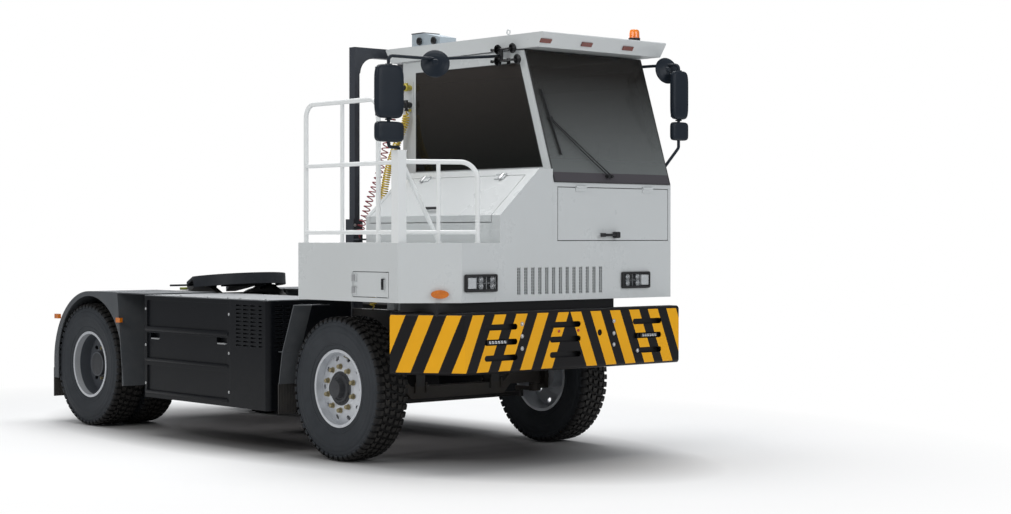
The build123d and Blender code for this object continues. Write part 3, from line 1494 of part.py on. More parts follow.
# Couplings parked on a bracket at the cab's right rear corner
coupling_x = -540
coupling_radius = 26
coupling_heights = (2925, 2785)
coupling_y = cab_right - seat_gap
coupling_ball_radius = 29
plug_radius = 17
plug_reach = 50
gladhands = block(coupling_x - 2 * coupling_radius, coupling_x + 2 * coupling_radius,
                  coupling_y - guard_sheet, coupling_y,
                  coupling_heights[1] - 3 * coupling_radius, coupling_heights[0] + 2 * coupling_radius)
for height in coupling_heights:
    gladhands += cross_disc(coupling_x, coupling_y - 2 * coupling_radius, coupling_y, height, coupling_radius)
    gladhands += Pos(coupling_x, coupling_y - 2 * coupling_radius, height) * Sphere(coupling_ball_radius)
knob_y = coupling_y - 2 * coupling_radius
upper_plug = (coupling_x - plug_reach, knob_y, coupling_heights[0])
lower_plug = (coupling_x, knob_y, coupling_heights[1] - plug_reach)
gladhands += rod((coupling_x, knob_y, coupling_heights[0]), upper_plug, plug_radius)
gladhands += rod((coupling_x, knob_y, coupling_heights[1]), lower_plug, plug_radius)
put("gladhands", gladhands)

# Curly air hoses: the outer tube of each coil, from their feet up to the couplings
coil_radius = 34
hose_foot_x = shelf_x + hose_shelf[0] / 2
red_route = [
    (hose_foot_x, hose_shelf_y, hose_shelf_z + seat_gap),
    (hose_foot_x, hose_shelf_y, 1770),
    (-810, -285, 1880),
    (-765, -262, 2030),
    (-725, -225, 2160),
    (-682, -198, 2330),
    (-664, -172, 2470),
    (-672, -125, 2580),
    (-694, -85, 2690),
    (-708, -63, 2800),
    (-708, knob_y, coupling_heights[0]),
    (upper_plug[0] - seat_gap, knob_y, coupling_heights[0]),
]

bend_share = 0.45


def route_radii(route):
    radii = []
    for before, corner, after in zip(route[:-2], route[1:-1], route[2:]):
        run_in = Vector(*corner) - Vector(*before)
        run_out = Vector(*after) - Vector(*corner)
        turn = math.radians(run_in.get_angle(run_out))
        radii.append(bend_share * min(run_in.length, run_out.length) / math.tan(turn / 2))
    return radii


red_radii = route_radii(red_route)
print("red hose radii", [round(radius) for radius in red_radii])
put("red_hose", tube_path(red_route, red_radii, coil_radius))

yellow_route = [
    (lower_plug[0], lower_plug[1], lower_plug[2] - seat_gap),
    (lower_plug[0], lower_plug[1], 2650),
    (-572, -100, 2540),
    (-575, -150, 2430),
    (-572, -205, 2310),
    (-568, -245, 2200),
    (-566, -272, 2080),
    (-562, -305, 1930),
    (-560, -352, 1730),
    (-560, -392, 1480),
    (-560, -392, frame_top + seat_gap),
]
yellow_radii = route_radii(yellow_route)
print("yellow hose radii", [round(radius) for radius in yellow_radii])
put("yellow_hose", tube_path(yellow_route, yellow_radii, coil_radius))
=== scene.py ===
import math

import bmesh
import bpy
from mathutils import Matrix, Vector


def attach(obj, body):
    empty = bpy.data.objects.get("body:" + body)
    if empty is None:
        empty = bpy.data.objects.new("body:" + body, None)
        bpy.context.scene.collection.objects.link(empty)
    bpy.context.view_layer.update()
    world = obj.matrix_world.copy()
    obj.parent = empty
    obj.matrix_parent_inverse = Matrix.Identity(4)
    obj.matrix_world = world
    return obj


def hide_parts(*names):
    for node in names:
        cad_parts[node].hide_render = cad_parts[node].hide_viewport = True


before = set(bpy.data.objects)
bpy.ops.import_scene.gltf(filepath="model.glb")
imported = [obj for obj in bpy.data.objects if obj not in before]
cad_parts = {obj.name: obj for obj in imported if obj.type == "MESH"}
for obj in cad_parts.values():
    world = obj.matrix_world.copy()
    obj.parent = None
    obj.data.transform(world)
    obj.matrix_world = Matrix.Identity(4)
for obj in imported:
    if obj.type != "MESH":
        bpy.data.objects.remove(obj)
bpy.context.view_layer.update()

# Studio: the camera stands in front and to the right of the tractor at a standing person's eye
# height, with a short tele lens; the floor and the backdrop are white paper and not part of it, the floor with a
# painted shadow under the tractor.
camera_place = Vector((13.0945, -9.7267, 1.7091))
camera_yaw = 2.416
camera_pitch = -0.011
camera_data = bpy.data.cameras.new("studio_camera")
camera_data.lens = 67.21
camera_data.sensor_width = 36
camera_data.clip_end = 200
camera = bpy.data.objects.new("studio_camera", camera_data)
sight = Vector((
    math.cos(camera_yaw) * math.cos(camera_pitch),
    math.sin(camera_yaw) * math.cos(camera_pitch),
    math.sin(camera_pitch),
))
camera.matrix_world = Matrix.Translation(camera_place) @ sight.to_track_quat("-Z", "Y").to_matrix().to_4x4()
bpy.context.scene.collection.objects.link(camera)
bpy.context.scene.camera = camera
bpy.context.scene.view_settings.view_transform = "Standard"


class Value:
    """One socket of a material's node tree; sums and products of values add their Math nodes."""

    def __init__(self, paint, socket):
        self.paint = paint
        self.socket = socket

    def math(self, operation, *others):
        return self.paint.add("ShaderNodeMath", {"operation": operation}, {
            index: other for index, other in enumerate((self, *others))
        })

    def __add__(self, other):
        return self.math("ADD", other)

    def __radd__(self, other):
        return self.math("ADD", other)

    def __sub__(self, other):
        return self.math("SUBTRACT", other)

    def __rsub__(self, other):
        return self.paint.add("ShaderNodeMath", {"operation": "SUBTRACT"}, {0: other, 1: self})

    def __mul__(self, other):
        return self.math("MULTIPLY", other)

    def __rmul__(self, other):
        return self.math("MULTIPLY", other)

    def __truediv__(self, other):
        return self.math("DIVIDE", other)

    def __gt__(self, other):
        return self.math("GREATER_THAN", other)

    def __lt__(self, other):
        return self.math("LESS_THAN", other)

    def power(self, exponent):
        return self.math("POWER", exponent)

    def absolute(self):
        return self.math("ABSOLUTE")

    def fraction(self):
        return self.math("FRACT")

    def clamped(self, low, high):
        return self.paint.add("ShaderNodeClamp", {}, {"Value": self, "Min": low, "Max": high})

    def most(self, other):
        return self.math("MAXIMUM", other)

    def sine(self):
        return self.math("SINE")


class Paint:
    """A procedural material that is built up from nodes on Object coordinates."""

    def __init__(self, name):
        self.material = bpy.data.materials.new(name)
        self.material.use_nodes = True
        self.tree = self.material.node_tree
        self.shader = self.tree.nodes["Principled BSDF"]
        self.output = self.tree.nodes["Material Output"]

    def feed(self, socket, value):
        """Gives an input its value or its link; a colour gets full alpha."""
        if isinstance(value, Value):
            self.tree.links.new(value.socket, socket)
        else:
            socket.default_value = (*value, 1.0) if socket.type == "RGBA" else value

    def add(self, kind, settings, inputs, output=0):
        node = self.tree.nodes.new(kind)
        for setting, value in settings.items():
            if setting == "stops":
                ramp = node.color_ramp
                while len(ramp.elements) < len(value):
                    ramp.elements.new(0.5)
                for element, (place, colour) in zip(ramp.elements, value):
                    element.position = place
                    element.color = (*colour, 1.0)
            else:
                setattr(node, setting, value)
        for key, value in inputs.items():
            self.feed(node.inputs[key], value)
        return Value(self, node.outputs[output])

    def again(self, value, output):
        """Another output of the node that a value comes from."""
        return Value(self, value.socket.node.outputs[output])

    def place(self):
        return self.add("ShaderNodeTexCoord", {}, {}, "Object")

    def axes(self):
        x = self.add("ShaderNodeSeparateXYZ", {}, {0: self.place()})
        return x, self.again(x, 1), self.again(x, 2)

    def noise(self, scale, detail=2.0, roughness=0.5, stretch=None):
        vector = self.place()
        if stretch:
            vector = self.add("ShaderNodeVectorMath", {"operation": "MULTIPLY"}, {0: vector, 1: stretch})
        return self.add("ShaderNodeTexNoise", {}, {
            "Vector": vector, "Scale": scale, "Detail": detail, "Roughness": roughness,
        })

    def cells(self, scale):
        return self.add("ShaderNodeTexVoronoi", {}, {"Vector": self.place(), "Scale": scale})

    def ramp(self, value, *stops):
        return self.add("ShaderNodeValToRGB", {"stops": stops}, {"Fac": value})

    def mix(self, factor, first, second):
        return self.add("ShaderNodeMix", {"data_type": "RGBA"}, {0: factor, 6: first, 7: second}, 2)

    def edges(self, radius):
        """1 on convex edges, 0 on flat faces: the difference between a rounded and the true normal."""
        soft = self.add("ShaderNodeBevel", {"samples": 4}, {"Radius": radius})
        hard = self.again(self.add("ShaderNodeNewGeometry", {}, {}), "Normal")
        dot = self.add("ShaderNodeVectorMath", {"operation": "DOT_PRODUCT"}, {0: soft, 1: hard}, 1)
        return ((1.0 - dot) * 4.0).clamped(0.0, 1.0)

    def bump(self, height, distance, strength):
        return self.add("ShaderNodeBump", {}, {"Height": height, "Distance": distance, "Strength": strength})

    def finish(self, **sockets):
        for name, value in sockets.items():
            self.feed(self.shader.inputs[name.replace("_", " ")], value)
        return self.material


def only(piece):
    """Makes a piece the selected and the active one."""
    bpy.ops.object.select_all(action="DESELECT")
    piece.select_set(True)
    bpy.context.view_layer.objects.active = piece


def shown(name, data):
    """A new object in the scene."""
    piece = bpy.data.objects.new(name, data)
    bpy.context.scene.collection.objects.link(piece)
    return piece


def dress(material, *nodes):
    """Gives CAD nodes their finish."""
    for node in nodes:
        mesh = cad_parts[node].data
        mesh.materials.clear()
        mesh.materials.append(material)


white = (1.0, 1.0, 1.0)
backdrop = bpy.data.worlds.new("studio_air")
bpy.context.scene.world = backdrop
backdrop.use_nodes = True
air = backdrop.node_tree
air_light = air.nodes["Background"]
air_light.inputs["Color"].default_value = (0.93, 0.96, 1.0, 1.0)
air_light.inputs["Strength"].default_value = 0.30
air_seen = air.nodes.new("ShaderNodeBackground")
air_seen.inputs["Color"].default_value = (*white, 1.0)
air_seen.inputs["Strength"].default_value = 1.0
air_path = air.nodes.new("ShaderNodeLightPath")
air_rays = air.nodes.new("ShaderNodeMath")
air_rays.operation = "MAXIMUM"
air.links.new(air_path.outputs["Is Camera Ray"], air_rays.inputs[0])
air.links.new(air_path.outputs["Is Transmission Ray"], air_rays.inputs[1])
air_mix = air.nodes.new("ShaderNodeMixShader")
air.links.new(air_rays.outputs[0], air_mix.inputs[0])
air.links.new(air_light.outputs[0], air_mix.inputs[1])
air.links.new(air_seen.outputs[0], air_mix.inputs[2])
air.links.new(air_mix.outputs[0], air.nodes["World Output"].inputs["Surface"])

bpy.ops.object.select_all(action="DESELECT")
bpy.ops.mesh.primitive_circle_add(vertices=64, radius=60, fill_type="NGON", location=(0, 0, -0.004))
paper = bpy.context.object
paper.name = "studio_floor"
paper_paint = Paint("floor_paper")
paper_x, paper_y, _ = paper_paint.axes()
paper_reach = ((paper_x * paper_x / 14.0) + (paper_y * paper_y / 7.0)).power(0.5)
paper_far = ((paper_reach - 1.1) / 0.7).clamped(0.0, 1.0)
paper_path = paper_paint.add("ShaderNodeLightPath", {}, {})
paper_seen = paper_far * paper_path
paper_glow = paper_paint.add("ShaderNodeEmission", {}, {"Color": white, "Strength": 1.0})
# Painted shadow: the floor paper is painted dark under and round the tractor and fades to white away from it.
paper_shadow_reach = ((paper_x * paper_x / 9.0) + (paper_y * paper_y / 1.7)).power(0.5)
paper_shadow_fade = ((paper_shadow_reach - 0.72) / 0.66).clamped(0.0, 1.0)
paper_paint.finish(
    Base_Color=paper_paint.mix(paper_shadow_fade, (0.13, 0.125, 0.125), (0.86, 0.86, 0.86)),
    Roughness=0.75,
    Specular_IOR_Level=0.1,
)
paper_body = Value(paper_paint, paper_paint.shader.outputs[0])
paper_mix = paper_paint.add("ShaderNodeMixShader", {}, {0: paper_seen, 1: paper_body, 2: paper_glow})
paper_paint.tree.links.new(paper_mix.socket, paper_paint.output.inputs["Surface"])
paper.data.materials.append(paper_paint.material)

# name, place, aims at, width, height, watts, colour
studio_lamps = (
    ("key_softbox", (4.0, -11.0, 7.5), (0.0, -0.5, 1.4), 7.0, 5.0, 450, (1.0, 0.99, 0.97)),
    ("front_softbox", (13.0, 2.0, 6.0), (1.5, 0.0, 1.5), 6.0, 5.0, 400, (0.97, 0.98, 1.0)),
    ("top_softbox", (-0.5, 0.5, 9.5), (0.0, 0.0, 1.0), 9.0, 6.0, 860, (1.0, 1.0, 1.0)),
    ("rear_softbox", (-9.0, 5.0, 5.0), (-1.0, 0.0, 1.2), 6.0, 4.0, 170, (0.96, 0.98, 1.0)),
)
for name, place, aim, width, height, watts, colour in studio_lamps:
    lamp_data = bpy.data.lights.new(name, "AREA")
    lamp_data.shape = "RECTANGLE"
    lamp_data.size = width
    lamp_data.size_y = height
    lamp_data.energy = watts
    lamp_data.color = colour
    lamp = bpy.data.objects.new(name, lamp_data)
    direction = Vector(aim) - Vector(place)
    lamp.matrix_world = Matrix.Translation(place) @ direction.to_track_quat("-Z", "Y").to_matrix().to_4x4()
    bpy.context.scene.collection.objects.link(lamp)

# Curly air hoses: two coiled nylon lines, dark red and yellow, that feed the trailer's brakes.
# The red one climbs from a shelf on the mast's foot to the upper coupling at the cab's corner,
# and the yellow one hangs from the lower coupling down to the frame rail.
hose_radius = 0.034
hose_steps = 12
# name, node, body colour, tube, pitch of a turn, route in metres
hoses = (
    ("red_air_hose", "red_hose", (0.34, 0.020, 0.036), 0.010, 0.041, (
        (0.6515, -0.292, 1.6903), (0.6515, -0.292, 1.770), (0.705, -0.285, 1.880),
        (0.750, -0.262, 2.030), (0.790, -0.225, 2.160), (0.833, -0.198, 2.330),
        (0.851, -0.172, 2.470), (0.843, -0.125, 2.580), (0.821, -0.085, 2.690),
        (0.807, -0.063, 2.800), (0.807, -0.063, 2.925), (0.9247, -0.063, 2.925),
    )),
    ("yellow_air_hose", "yellow_hose", (0.64, 0.455, 0.035), 0.013, 0.0195, (
        (0.975, -0.063, 2.7347), (0.975, -0.063, 2.650), (0.943, -0.100, 2.540),
        (0.940, -0.150, 2.430), (0.943, -0.205, 2.310), (0.947, -0.245, 2.200),
        (0.949, -0.272, 2.080), (0.953, -0.305, 1.930), (0.955, -0.352, 1.730),
        (0.955, -0.392, 1.480), (0.955, -0.392, 1.1203),
    )),
)


def spline_through(name, points):
    """A smooth curve of order 3 that follows a list of points."""
    curve = bpy.data.curves.new(name, "CURVE")
    curve.dimensions = "3D"
    spline = curve.splines.new("NURBS")
    spline.points.add(len(points) - 1)
    for knot, point in zip(spline.points, points):
        knot.co = (*point, 1.0)
    spline.order_u = 3
    spline.use_endpoint_u = True
    spline.resolution_u = 12
    return curve


def helix_along(line, pitch, radius):
    """Points of a helix round a line, which winds away from the line's start and back to its end."""
    lengths = [0.0]
    for first, second in zip(line[:-1], line[1:]):
        lengths.append(lengths[-1] + (second - first).length)
    total = lengths[-1]
    lead = 0.05
    lead_steps = 30
    turns = round((total - 2 * lead) / pitch)
    count = turns * hose_steps
    winding = math.pi * lead * turns / (total - 2 * lead)
    eased = []
    for step in range(lead_steps):
        share = step / lead_steps
        eased.append((lead * share, winding * (share * share - 1.0), share * share * (3 - 2 * share)))
    stops = list(eased)
    for step in range(count + 1):
        stops.append((lead + (total - 2 * lead) * step / count, 2 * math.pi * step / hose_steps, 1.0))
    stops += [(total - travel, -turn, reach) for travel, turn, reach in reversed(eased)]
    side = Vector((0.0, 1.0, 0.0))
    points = []
    segment = 0
    for travel, turn, reach in stops:
        while segment < len(lengths) - 2 and lengths[segment + 1] < travel:
            segment += 1
        run = line[segment + 1] - line[segment]
        centre = line[segment] + run * ((travel - lengths[segment]) / run.length)
        forward = run.normalized()
        side = (side - forward * side.dot(forward)).normalized()
        other = forward.cross(side)
        points.append(centre + (side * math.cos(turn) + other * math.sin(turn)) * radius * reach)
    return points


for name, node, colour, tube, pitch, route in hoses:
    guide = shown(name + "_guide", spline_through(name + "_guide", route))
    bpy.context.view_layer.update()
    guide_mesh = bpy.data.meshes.new_from_object(guide)
    line = [vertex.co.copy() for vertex in guide_mesh.vertices]
    bpy.data.objects.remove(guide)
    points = helix_along(line, pitch, hose_radius - tube / 2)
    curve = spline_through(name, points)
    curve.splines[0].resolution_u = 2
    curve.bevel_depth = tube / 2
    curve.bevel_resolution = 1
    hose = shown(name, curve)
    bare = shown(name + "_bare", spline_through(name + "_bare", points))
    bare.data.splines[0].resolution_u = 2
    bpy.context.view_layer.update()
    bare_mesh = bpy.data.meshes.new_from_object(bare)
    bpy.data.objects.remove(bare)
    nylon = Paint(name + "_nylon")
    nylon_dust = nylon.noise(14.0, 3.0)
    nylon.finish(
        Base_Color=nylon.ramp(nylon_dust, (0.35, colour), (0.75, tuple(c * 0.72 + 0.03 for c in colour))),
        Roughness=nylon_dust * 0.25 + 0.25,
        Coat_Weight=0.3,
    )
    curve.materials.append(nylon.material)
    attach(hose, "chassis")
    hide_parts(node)

# White bodywork: the folded platform shell, the wedge console and its hatch, the cab's walls and
# roof, the front lid, the sliding rear door and its tracks. Sheet steel in pale grey enamel,
# a little orange peel, road dust near the ground and along the lower edges.
body_white = (0.60, 0.625, 0.63)
road_dust = (0.40, 0.37, 0.33)


def enamel(name, colour, roughness, grime, coat=0.25):
    """Sprayed enamel with a little orange peel, and dust in clouds and streaks near the ground."""
    paint = Paint(name)
    height = paint.axes()[2]
    cloud = paint.noise(1.1, 4.0, 0.6)
    speck = paint.noise(31.0, 4.0, 0.65)
    streak = paint.noise(9.0, 3.0, 0.6, stretch=(1.0, 1.0, 0.12))
    low = ((2.1 - height) / 1.7).clamped(0.08, 1.0)
    dust = (((speck * 0.5 + streak * 0.5 + cloud * 0.4) - 0.62).clamped(0.0, 0.4) * low * grime).clamped(0.0, 0.6)
    dull = tuple(part * 0.93 for part in colour)
    toned = paint.mix(cloud, colour, dull)
    skin = paint.noise(420.0, 2.0)
    return paint.finish(
        Base_Color=paint.mix(dust, toned, road_dust),
        Roughness=dust * 0.5 + cloud * 0.08 + roughness,
        Coat_Weight=coat,
        Normal=paint.bump(skin, 0.0003, 0.25),
    )


white_enamel = enamel("white_enamel", body_white, 0.24, 0.45)
dress(white_enamel, "platform", "service_door", "console", "console_hatch", "cab_side_right", "cab_side_left",
      "cab_rear_wall", "cab_front_wall", "front_lid", "cab_roof", "rear_door", "door_tracks")


def slab(name, low, high, rounding=0.0, steps=2):
    """A block between two corners with rounded edges."""
    bpy.ops.object.select_all(action="DESELECT")
    size = [b - a for a, b in zip(low, high)]
    middle = [(a + b) / 2 for a, b in zip(low, high)]
    bpy.ops.mesh.primitive_cube_add(size=1, location=middle)
    piece = bpy.context.object
    piece.name = name
    piece.scale = size
    bpy.ops.object.transform_apply(location=True, rotation=True, scale=True)
    if rounding:
        bpy.ops.object.mode_set(mode="EDIT")
        bpy.ops.mesh.select_all(action="SELECT")
        bpy.ops.mesh.bevel(offset=rounding, segments=steps, affect="EDGES")
        bpy.ops.object.mode_set(mode="OBJECT")
    return piece


def pipe(name, points, radius, sides=12, smooth=True, closed=False):
    """A tube of one radius along a line of points, with flat ends."""
    curve = bpy.data.curves.new(name, "CURVE")
    curve.dimensions = "3D"
    curve.bevel_depth = radius
    curve.bevel_resolution = max(0, sides // 4 - 1)
    curve.use_fill_caps = True
    run = curve.splines.new("POLY")
    run.points.add(len(points) - 1)
    for knot, point in zip(run.points, points):
        knot.co = (*point, 1.0)
    run.use_cyclic_u = closed
    guide = shown(name + "_line", curve)
    bpy.context.view_layer.update()
    mesh = bpy.data.meshes.new_from_object(guide)
    bpy.data.objects.remove(guide)
    piece = shown(name, mesh)
    if smooth:
        mesh.shade_smooth()
    return piece


def repeated(name, source, places):
    """One mesh of copies of a source piece, one for each place; the source itself goes."""
    shape = bmesh.new()
    for place in places:
        first = len(shape.verts)
        shape.from_mesh(source.data)
        shape.verts.ensure_lookup_table()
        bmesh.ops.transform(shape, matrix=place, verts=shape.verts[first:])
    mesh = bpy.data.meshes.new(name)
    shape.to_mesh(mesh)
    shape.free()
    for material in source.data.materials:
        mesh.materials.append(material)
    piece = shown(name, mesh)
    bpy.data.objects.remove(source)
    return piece


# Turns of a piece that looks to the left.
to_front = Matrix.Rotation(-math.pi / 2, 4, "Z")
to_right = Matrix.Rotation(math.pi, 4, "Z")


def outward(side):
    """The turn that points a piece outwards: none on the left side, half a turn on the right."""
    return Matrix.Identity(4) if side > 0 else to_right


def joined(name, parts):
    """One object of several."""
    bpy.ops.object.select_all(action="DESELECT")
    for part in parts:
        part.select_set(True)
    bpy.context.view_layer.objects.active = parts[0]
    bpy.ops.object.join()
    bpy.context.object.name = name
    return bpy.context.object


def fitted(piece, material, body, slot, *nodes):
    """The last steps of a new piece: finish, body and what it replaces; slot is not used."""
    if material:
        piece.data.materials.clear()
        piece.data.materials.append(material)
    if piece.data.polygons and not any(face.use_smooth for face in piece.data.polygons):
        only(piece)
        bpy.ops.object.shade_smooth_by_angle(angle=math.radians(35))
    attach(piece, body)
    if nodes:
        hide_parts(*nodes)
    return piece


# The front lid's seal: an extruded black rubber strip that shows as a dark line round the lid's
# edge.


def mottled(name, cloud, first, second, rough, bump=None, **sockets):
    """A finish that varies in clouds between two colours, with a roughness that follows them."""
    paint = Paint(name)
    tone = paint.noise(*cloud)
    if bump:
        sockets["Normal"] = paint.bump(tone, *bump)
    return paint.finish(
        Base_Color=paint.mix(tone, first, second), Roughness=tone * rough[0] + rough[1], **sockets
    )


seal_rubber = mottled("seal_rubber", (120.0, 3.0), (0.012, 0.012, 0.013), (0.035, 0.034, 0.033),
                      (0.2, 0.5))
lid_face = 2.680
lid_y = (0.036, 1.245)
lid_z = (1.673, 2.085)
lid_ring = [
    (lid_face - 0.004, lid_y[0] + 0.003, lid_z[0] + 0.003),
    (lid_face - 0.004, lid_y[1] - 0.003, lid_z[0] + 0.003),
    (lid_face - 0.004, lid_y[1] - 0.003, lid_z[1] - 0.003),
    (lid_face - 0.004, lid_y[0] + 0.003, lid_z[1] - 0.003),
]
fitted(pipe("lid_seal", lid_ring, 0.0026, 8, closed=True), seal_rubber, "chassis", "dark_plastic")

# Tyres: six radial truck tyres, 1100 mm over the tread, with deep shoulder lugs and three rows
# of arrow-shaped blocks. Moulded black rubber, grey with dust on the side walls.
axle_height = 0.55
front_axle = 1.515
rear_axle = -2.185
axle_middle = (front_axle + rear_axle) / 2
axle_reach = (front_axle - rear_axle) / 2
tread_pitches = 54
side_wall = (
    (0.100, 0.291), (0.112, 0.296), (0.117, 0.306), (0.121, 0.309), (0.126, 0.318), (0.1285, 0.333),
    (0.1325, 0.336), (0.1335, 0.342), (0.1315, 0.345), (0.1375, 0.372), (0.1420, 0.400), (0.1440, 0.425),
    (0.1450, 0.428), (0.1450, 0.436), (0.1442, 0.439), (0.1440, 0.452), (0.1448, 0.462), (0.1418, 0.478),
    (0.1400, 0.480), (0.1385, 0.488), (0.1395, 0.492), (0.1330, 0.512), (0.1180, 0.529), (0.0600, 0.5335),
)
# row place across the tread, half width, half length, lean
tread_rows = ((-0.060, 0.019, 0.0235, 0.010), (0.0, 0.023, 0.0225, 0.012), (0.060, 0.019, 0.0235, 0.010))


def outline_face(name, points):
    """A flat face from its corner points."""
    mesh = bpy.data.meshes.new(name)
    mesh.from_pydata([Vector(point) for point in points], [], [list(range(len(points)))])
    piece = shown(name, mesh)
    only(piece)
    return piece


def thickened(piece, along, shrink=1.0, bevel=0.0):
    """The face drawn out along a direction into a solid, its far end made smaller."""
    only(piece)
    bpy.ops.object.mode_set(mode="EDIT")
    bpy.ops.mesh.select_all(action="SELECT")
    bpy.ops.mesh.extrude_region_move(TRANSFORM_OT_translate={"value": along})
    if shrink != 1.0:
        bpy.ops.transform.resize(value=(shrink, shrink, shrink))
    bpy.ops.mesh.select_all(action="SELECT")
    if bevel:
        bpy.ops.mesh.bevel(offset=bevel, segments=1, affect="EDGES")
    bpy.ops.mesh.normals_make_consistent(inside=False)
    bpy.ops.object.mode_set(mode="OBJECT")
    return piece


def spun(name, points, steps=96, centre=(0, 0, 0)):
    """A ring turned about an axle: points are distance along the axle and radius."""
    mesh = bpy.data.meshes.new(name)
    corners = [(centre[0], centre[1] + along, centre[2] + radius) for along, radius in points]
    count = len(corners)
    lines = [(index, (index + 1) % count) for index in range(count)]
    mesh.from_pydata(corners, lines, [])
    piece = shown(name, mesh)
    only(piece)
    bpy.ops.object.mode_set(mode="EDIT")
    bpy.ops.mesh.select_all(action="SELECT")
    bpy.ops.mesh.spin(steps=steps, angle=2 * math.pi, center=centre, axis=(0, 1, 0))
    bpy.ops.mesh.select_all(action="SELECT")
    bpy.ops.mesh.remove_doubles(threshold=0.00002)
    bpy.ops.mesh.normals_make_consistent(inside=False)
    bpy.ops.object.mode_set(mode="OBJECT")
    return piece


carcass_points = [(-along, radius) for along, radius in side_wall]
carcass_points += [(0.0, 0.5345)] + [point for point in reversed(side_wall)]
carcass_mould = spun("tyre_carcass", carcass_points)
tread_parts = []
pitch_angle = 2 * math.pi / tread_pitches
lug_line = ((0.1325, 0.5075), (0.1432, 0.5120), (0.1418, 0.5330), (0.1290, 0.5465), (0.0880, 0.5500), (0.0860, 0.5330))
for side, phase in ((1, 0.0), (-1, 0.5)):
    lug = outline_face("shoulder_lug", [(-0.0195, side * across, height) for across, height in lug_line])
    tread_parts.append(repeated("shoulder_lugs", thickened(lug, (0.039, 0, 0), bevel=0.0018), [
        Matrix.Rotation((index + phase) * pitch_angle, 4, "Y") for index in range(tread_pitches)
    ]))
for number, (row, half_width, half_length, lean) in enumerate(tread_rows):
    block = thickened(
        outline_face("tread_block", [
            (-half_length, row - half_width, 0.5325), (half_length - lean, row - half_width, 0.5325),
            (half_length, row, 0.5325), (half_length - lean, row + half_width, 0.5325),
            (-half_length, row + half_width, 0.5325), (-half_length + lean, row, 0.5325),
        ]), (0, 0, 0.0172), shrink=0.93)
    turns = [
        Matrix.Rotation((index + 0.33 * number + 0.2) * pitch_angle, 4, "Y") for index in range(tread_pitches)
    ]
    tread_parts.append(repeated("tread_row", block, turns))
tyre_mould = joined("tyre_mould", [carcass_mould] + tread_parts)

tyre_rubber = Paint("tyre_rubber_black")
tyre_x, _, tyre_z = tyre_rubber.axes()
from_axle = (tyre_x - axle_middle).absolute() - axle_reach
up_axle = tyre_z - axle_height
tyre_reach = (from_axle * from_axle + up_axle * up_axle).power(0.5)
tyre_cloud = tyre_rubber.noise(7.0, 5.0, 0.6)
tyre_grit = tyre_rubber.noise(160.0, 3.0, 0.7)
tread_mask = ((tyre_reach - 0.512) / 0.02).clamped(0.0, 1.0)
crown_mask = ((tyre_reach - 0.5475) / 0.002).clamped(0.0, 1.0)
side_tone = tyre_rubber.mix(tyre_cloud, (0.018, 0.021, 0.025), (0.044, 0.049, 0.056))
tread_tone = tyre_rubber.mix(tyre_grit, (0.005, 0.005, 0.006), (0.020, 0.019, 0.018))
worn_tone = tyre_rubber.mix(tyre_cloud, (0.018, 0.017, 0.017), (0.055, 0.051, 0.046))
tread_colour = tyre_rubber.mix(crown_mask * 0.7, tread_tone, worn_tone)
fine_rings = (tyre_reach * 900.0).sine() * 0.5 + 0.5
tyre_rubber.finish(
    Base_Color=tyre_rubber.mix(tread_mask, side_tone, tread_colour),
    Roughness=tyre_cloud * 0.2 + tyre_grit * 0.12 + 0.5,
    Specular_IOR_Level=0.25,
    Normal=tyre_rubber.bump(tyre_grit * 0.5 + fine_rings * (1.0 - tread_mask) * 0.5, 0.0006, 0.5),
)
tyre_mould.data.materials.append(tyre_rubber.material)
# new piece, axle place along the vehicle, places across it, body, node
tyre_sets = (
    ("front_tyre_r", front_axle, (-1.045,), "front_wheel_right", "front_tyre_right"),
    ("front_tyre_l", front_axle, (1.045,), "front_wheel_left", "front_tyre_left"),
    ("rear_tyres_r", rear_axle, (-1.090, -0.740), "rear_wheels_right", "rear_tyres_right"),
    ("rear_tyres_l", rear_axle, (1.090, 0.740), "rear_wheels_left", "rear_tyres_left"),
)
for name, along, across, body, node in tyre_sets:
    moulding = tyre_mould.copy()
    moulding.data = tyre_mould.data.copy()
    bpy.context.scene.collection.objects.link(moulding)
    places = [
        Matrix.Translation((along, y, axle_height)) @ Matrix.Rotation(0.4 * index + 0.05, 4, "Y")
        for index, y in enumerate(across)
    ]
    fitted(repeated(name, moulding, places), None, body, "tyre_rubber", node)
bpy.data.objects.remove(tyre_mould)

# Wheels: ten-stud disc wheels in silver enamel, the front ones with the disc outward and the
# rear twins dished deep. Yellow zinc nuts and valve stems, dark cast hubs.
rim_silver = Paint("rim_silver_enamel")
rim_x, rim_y, rim_z = rim_silver.axes()
from_rim = (rim_x - axle_middle).absolute() - axle_reach
up_rim = rim_z - axle_height
rim_cloud = rim_silver.noise(9.0, 4.0, 0.6)
rim_speck = rim_silver.noise(90.0, 3.0, 0.7)
rim_dirt = ((rim_speck * 0.6 + rim_cloud * 0.5) - 0.55).clamped(0.0, 0.5)
rim_reach = (from_rim * from_rim + up_rim * up_rim).power(0.5)
# The rear dish is painted dark inside as painted shade in its hollow, and keeps a silver lip.
rim_lip = ((rim_y.absolute() - 1.150) / 0.004).clamped(0.0, 1.0)
rim_dish_painted_shade = (rim_x < 0.0) * (1.0 - ((rim_reach - 0.284) / 0.004).clamped(0.0, 1.0)) * (1.0 - rim_lip)
rim_coat = rim_silver.mix(rim_dirt, (0.56, 0.58, 0.61), (0.24, 0.23, 0.21))
rim_silver.finish(
    Base_Color=rim_silver.mix(rim_dish_painted_shade * 0.93, rim_coat, (0.030, 0.036, 0.047)),
    Metallic=(1.0 - rim_dish_painted_shade) * 0.35,
    Roughness=rim_dirt * 0.5 + 0.34,
    Normal=rim_silver.bump(rim_speck, 0.0004, 0.3),
)
dress(rim_silver.material, "front_rim_right", "front_rim_left", "rear_rims_right", "rear_rims_left")
nut_zinc = mottled("yellow_zinc", (60.0, 3.0), (0.42, 0.36, 0.20), (0.20, 0.17, 0.11),
                   (0.3, 0.32), Metallic=0.7)
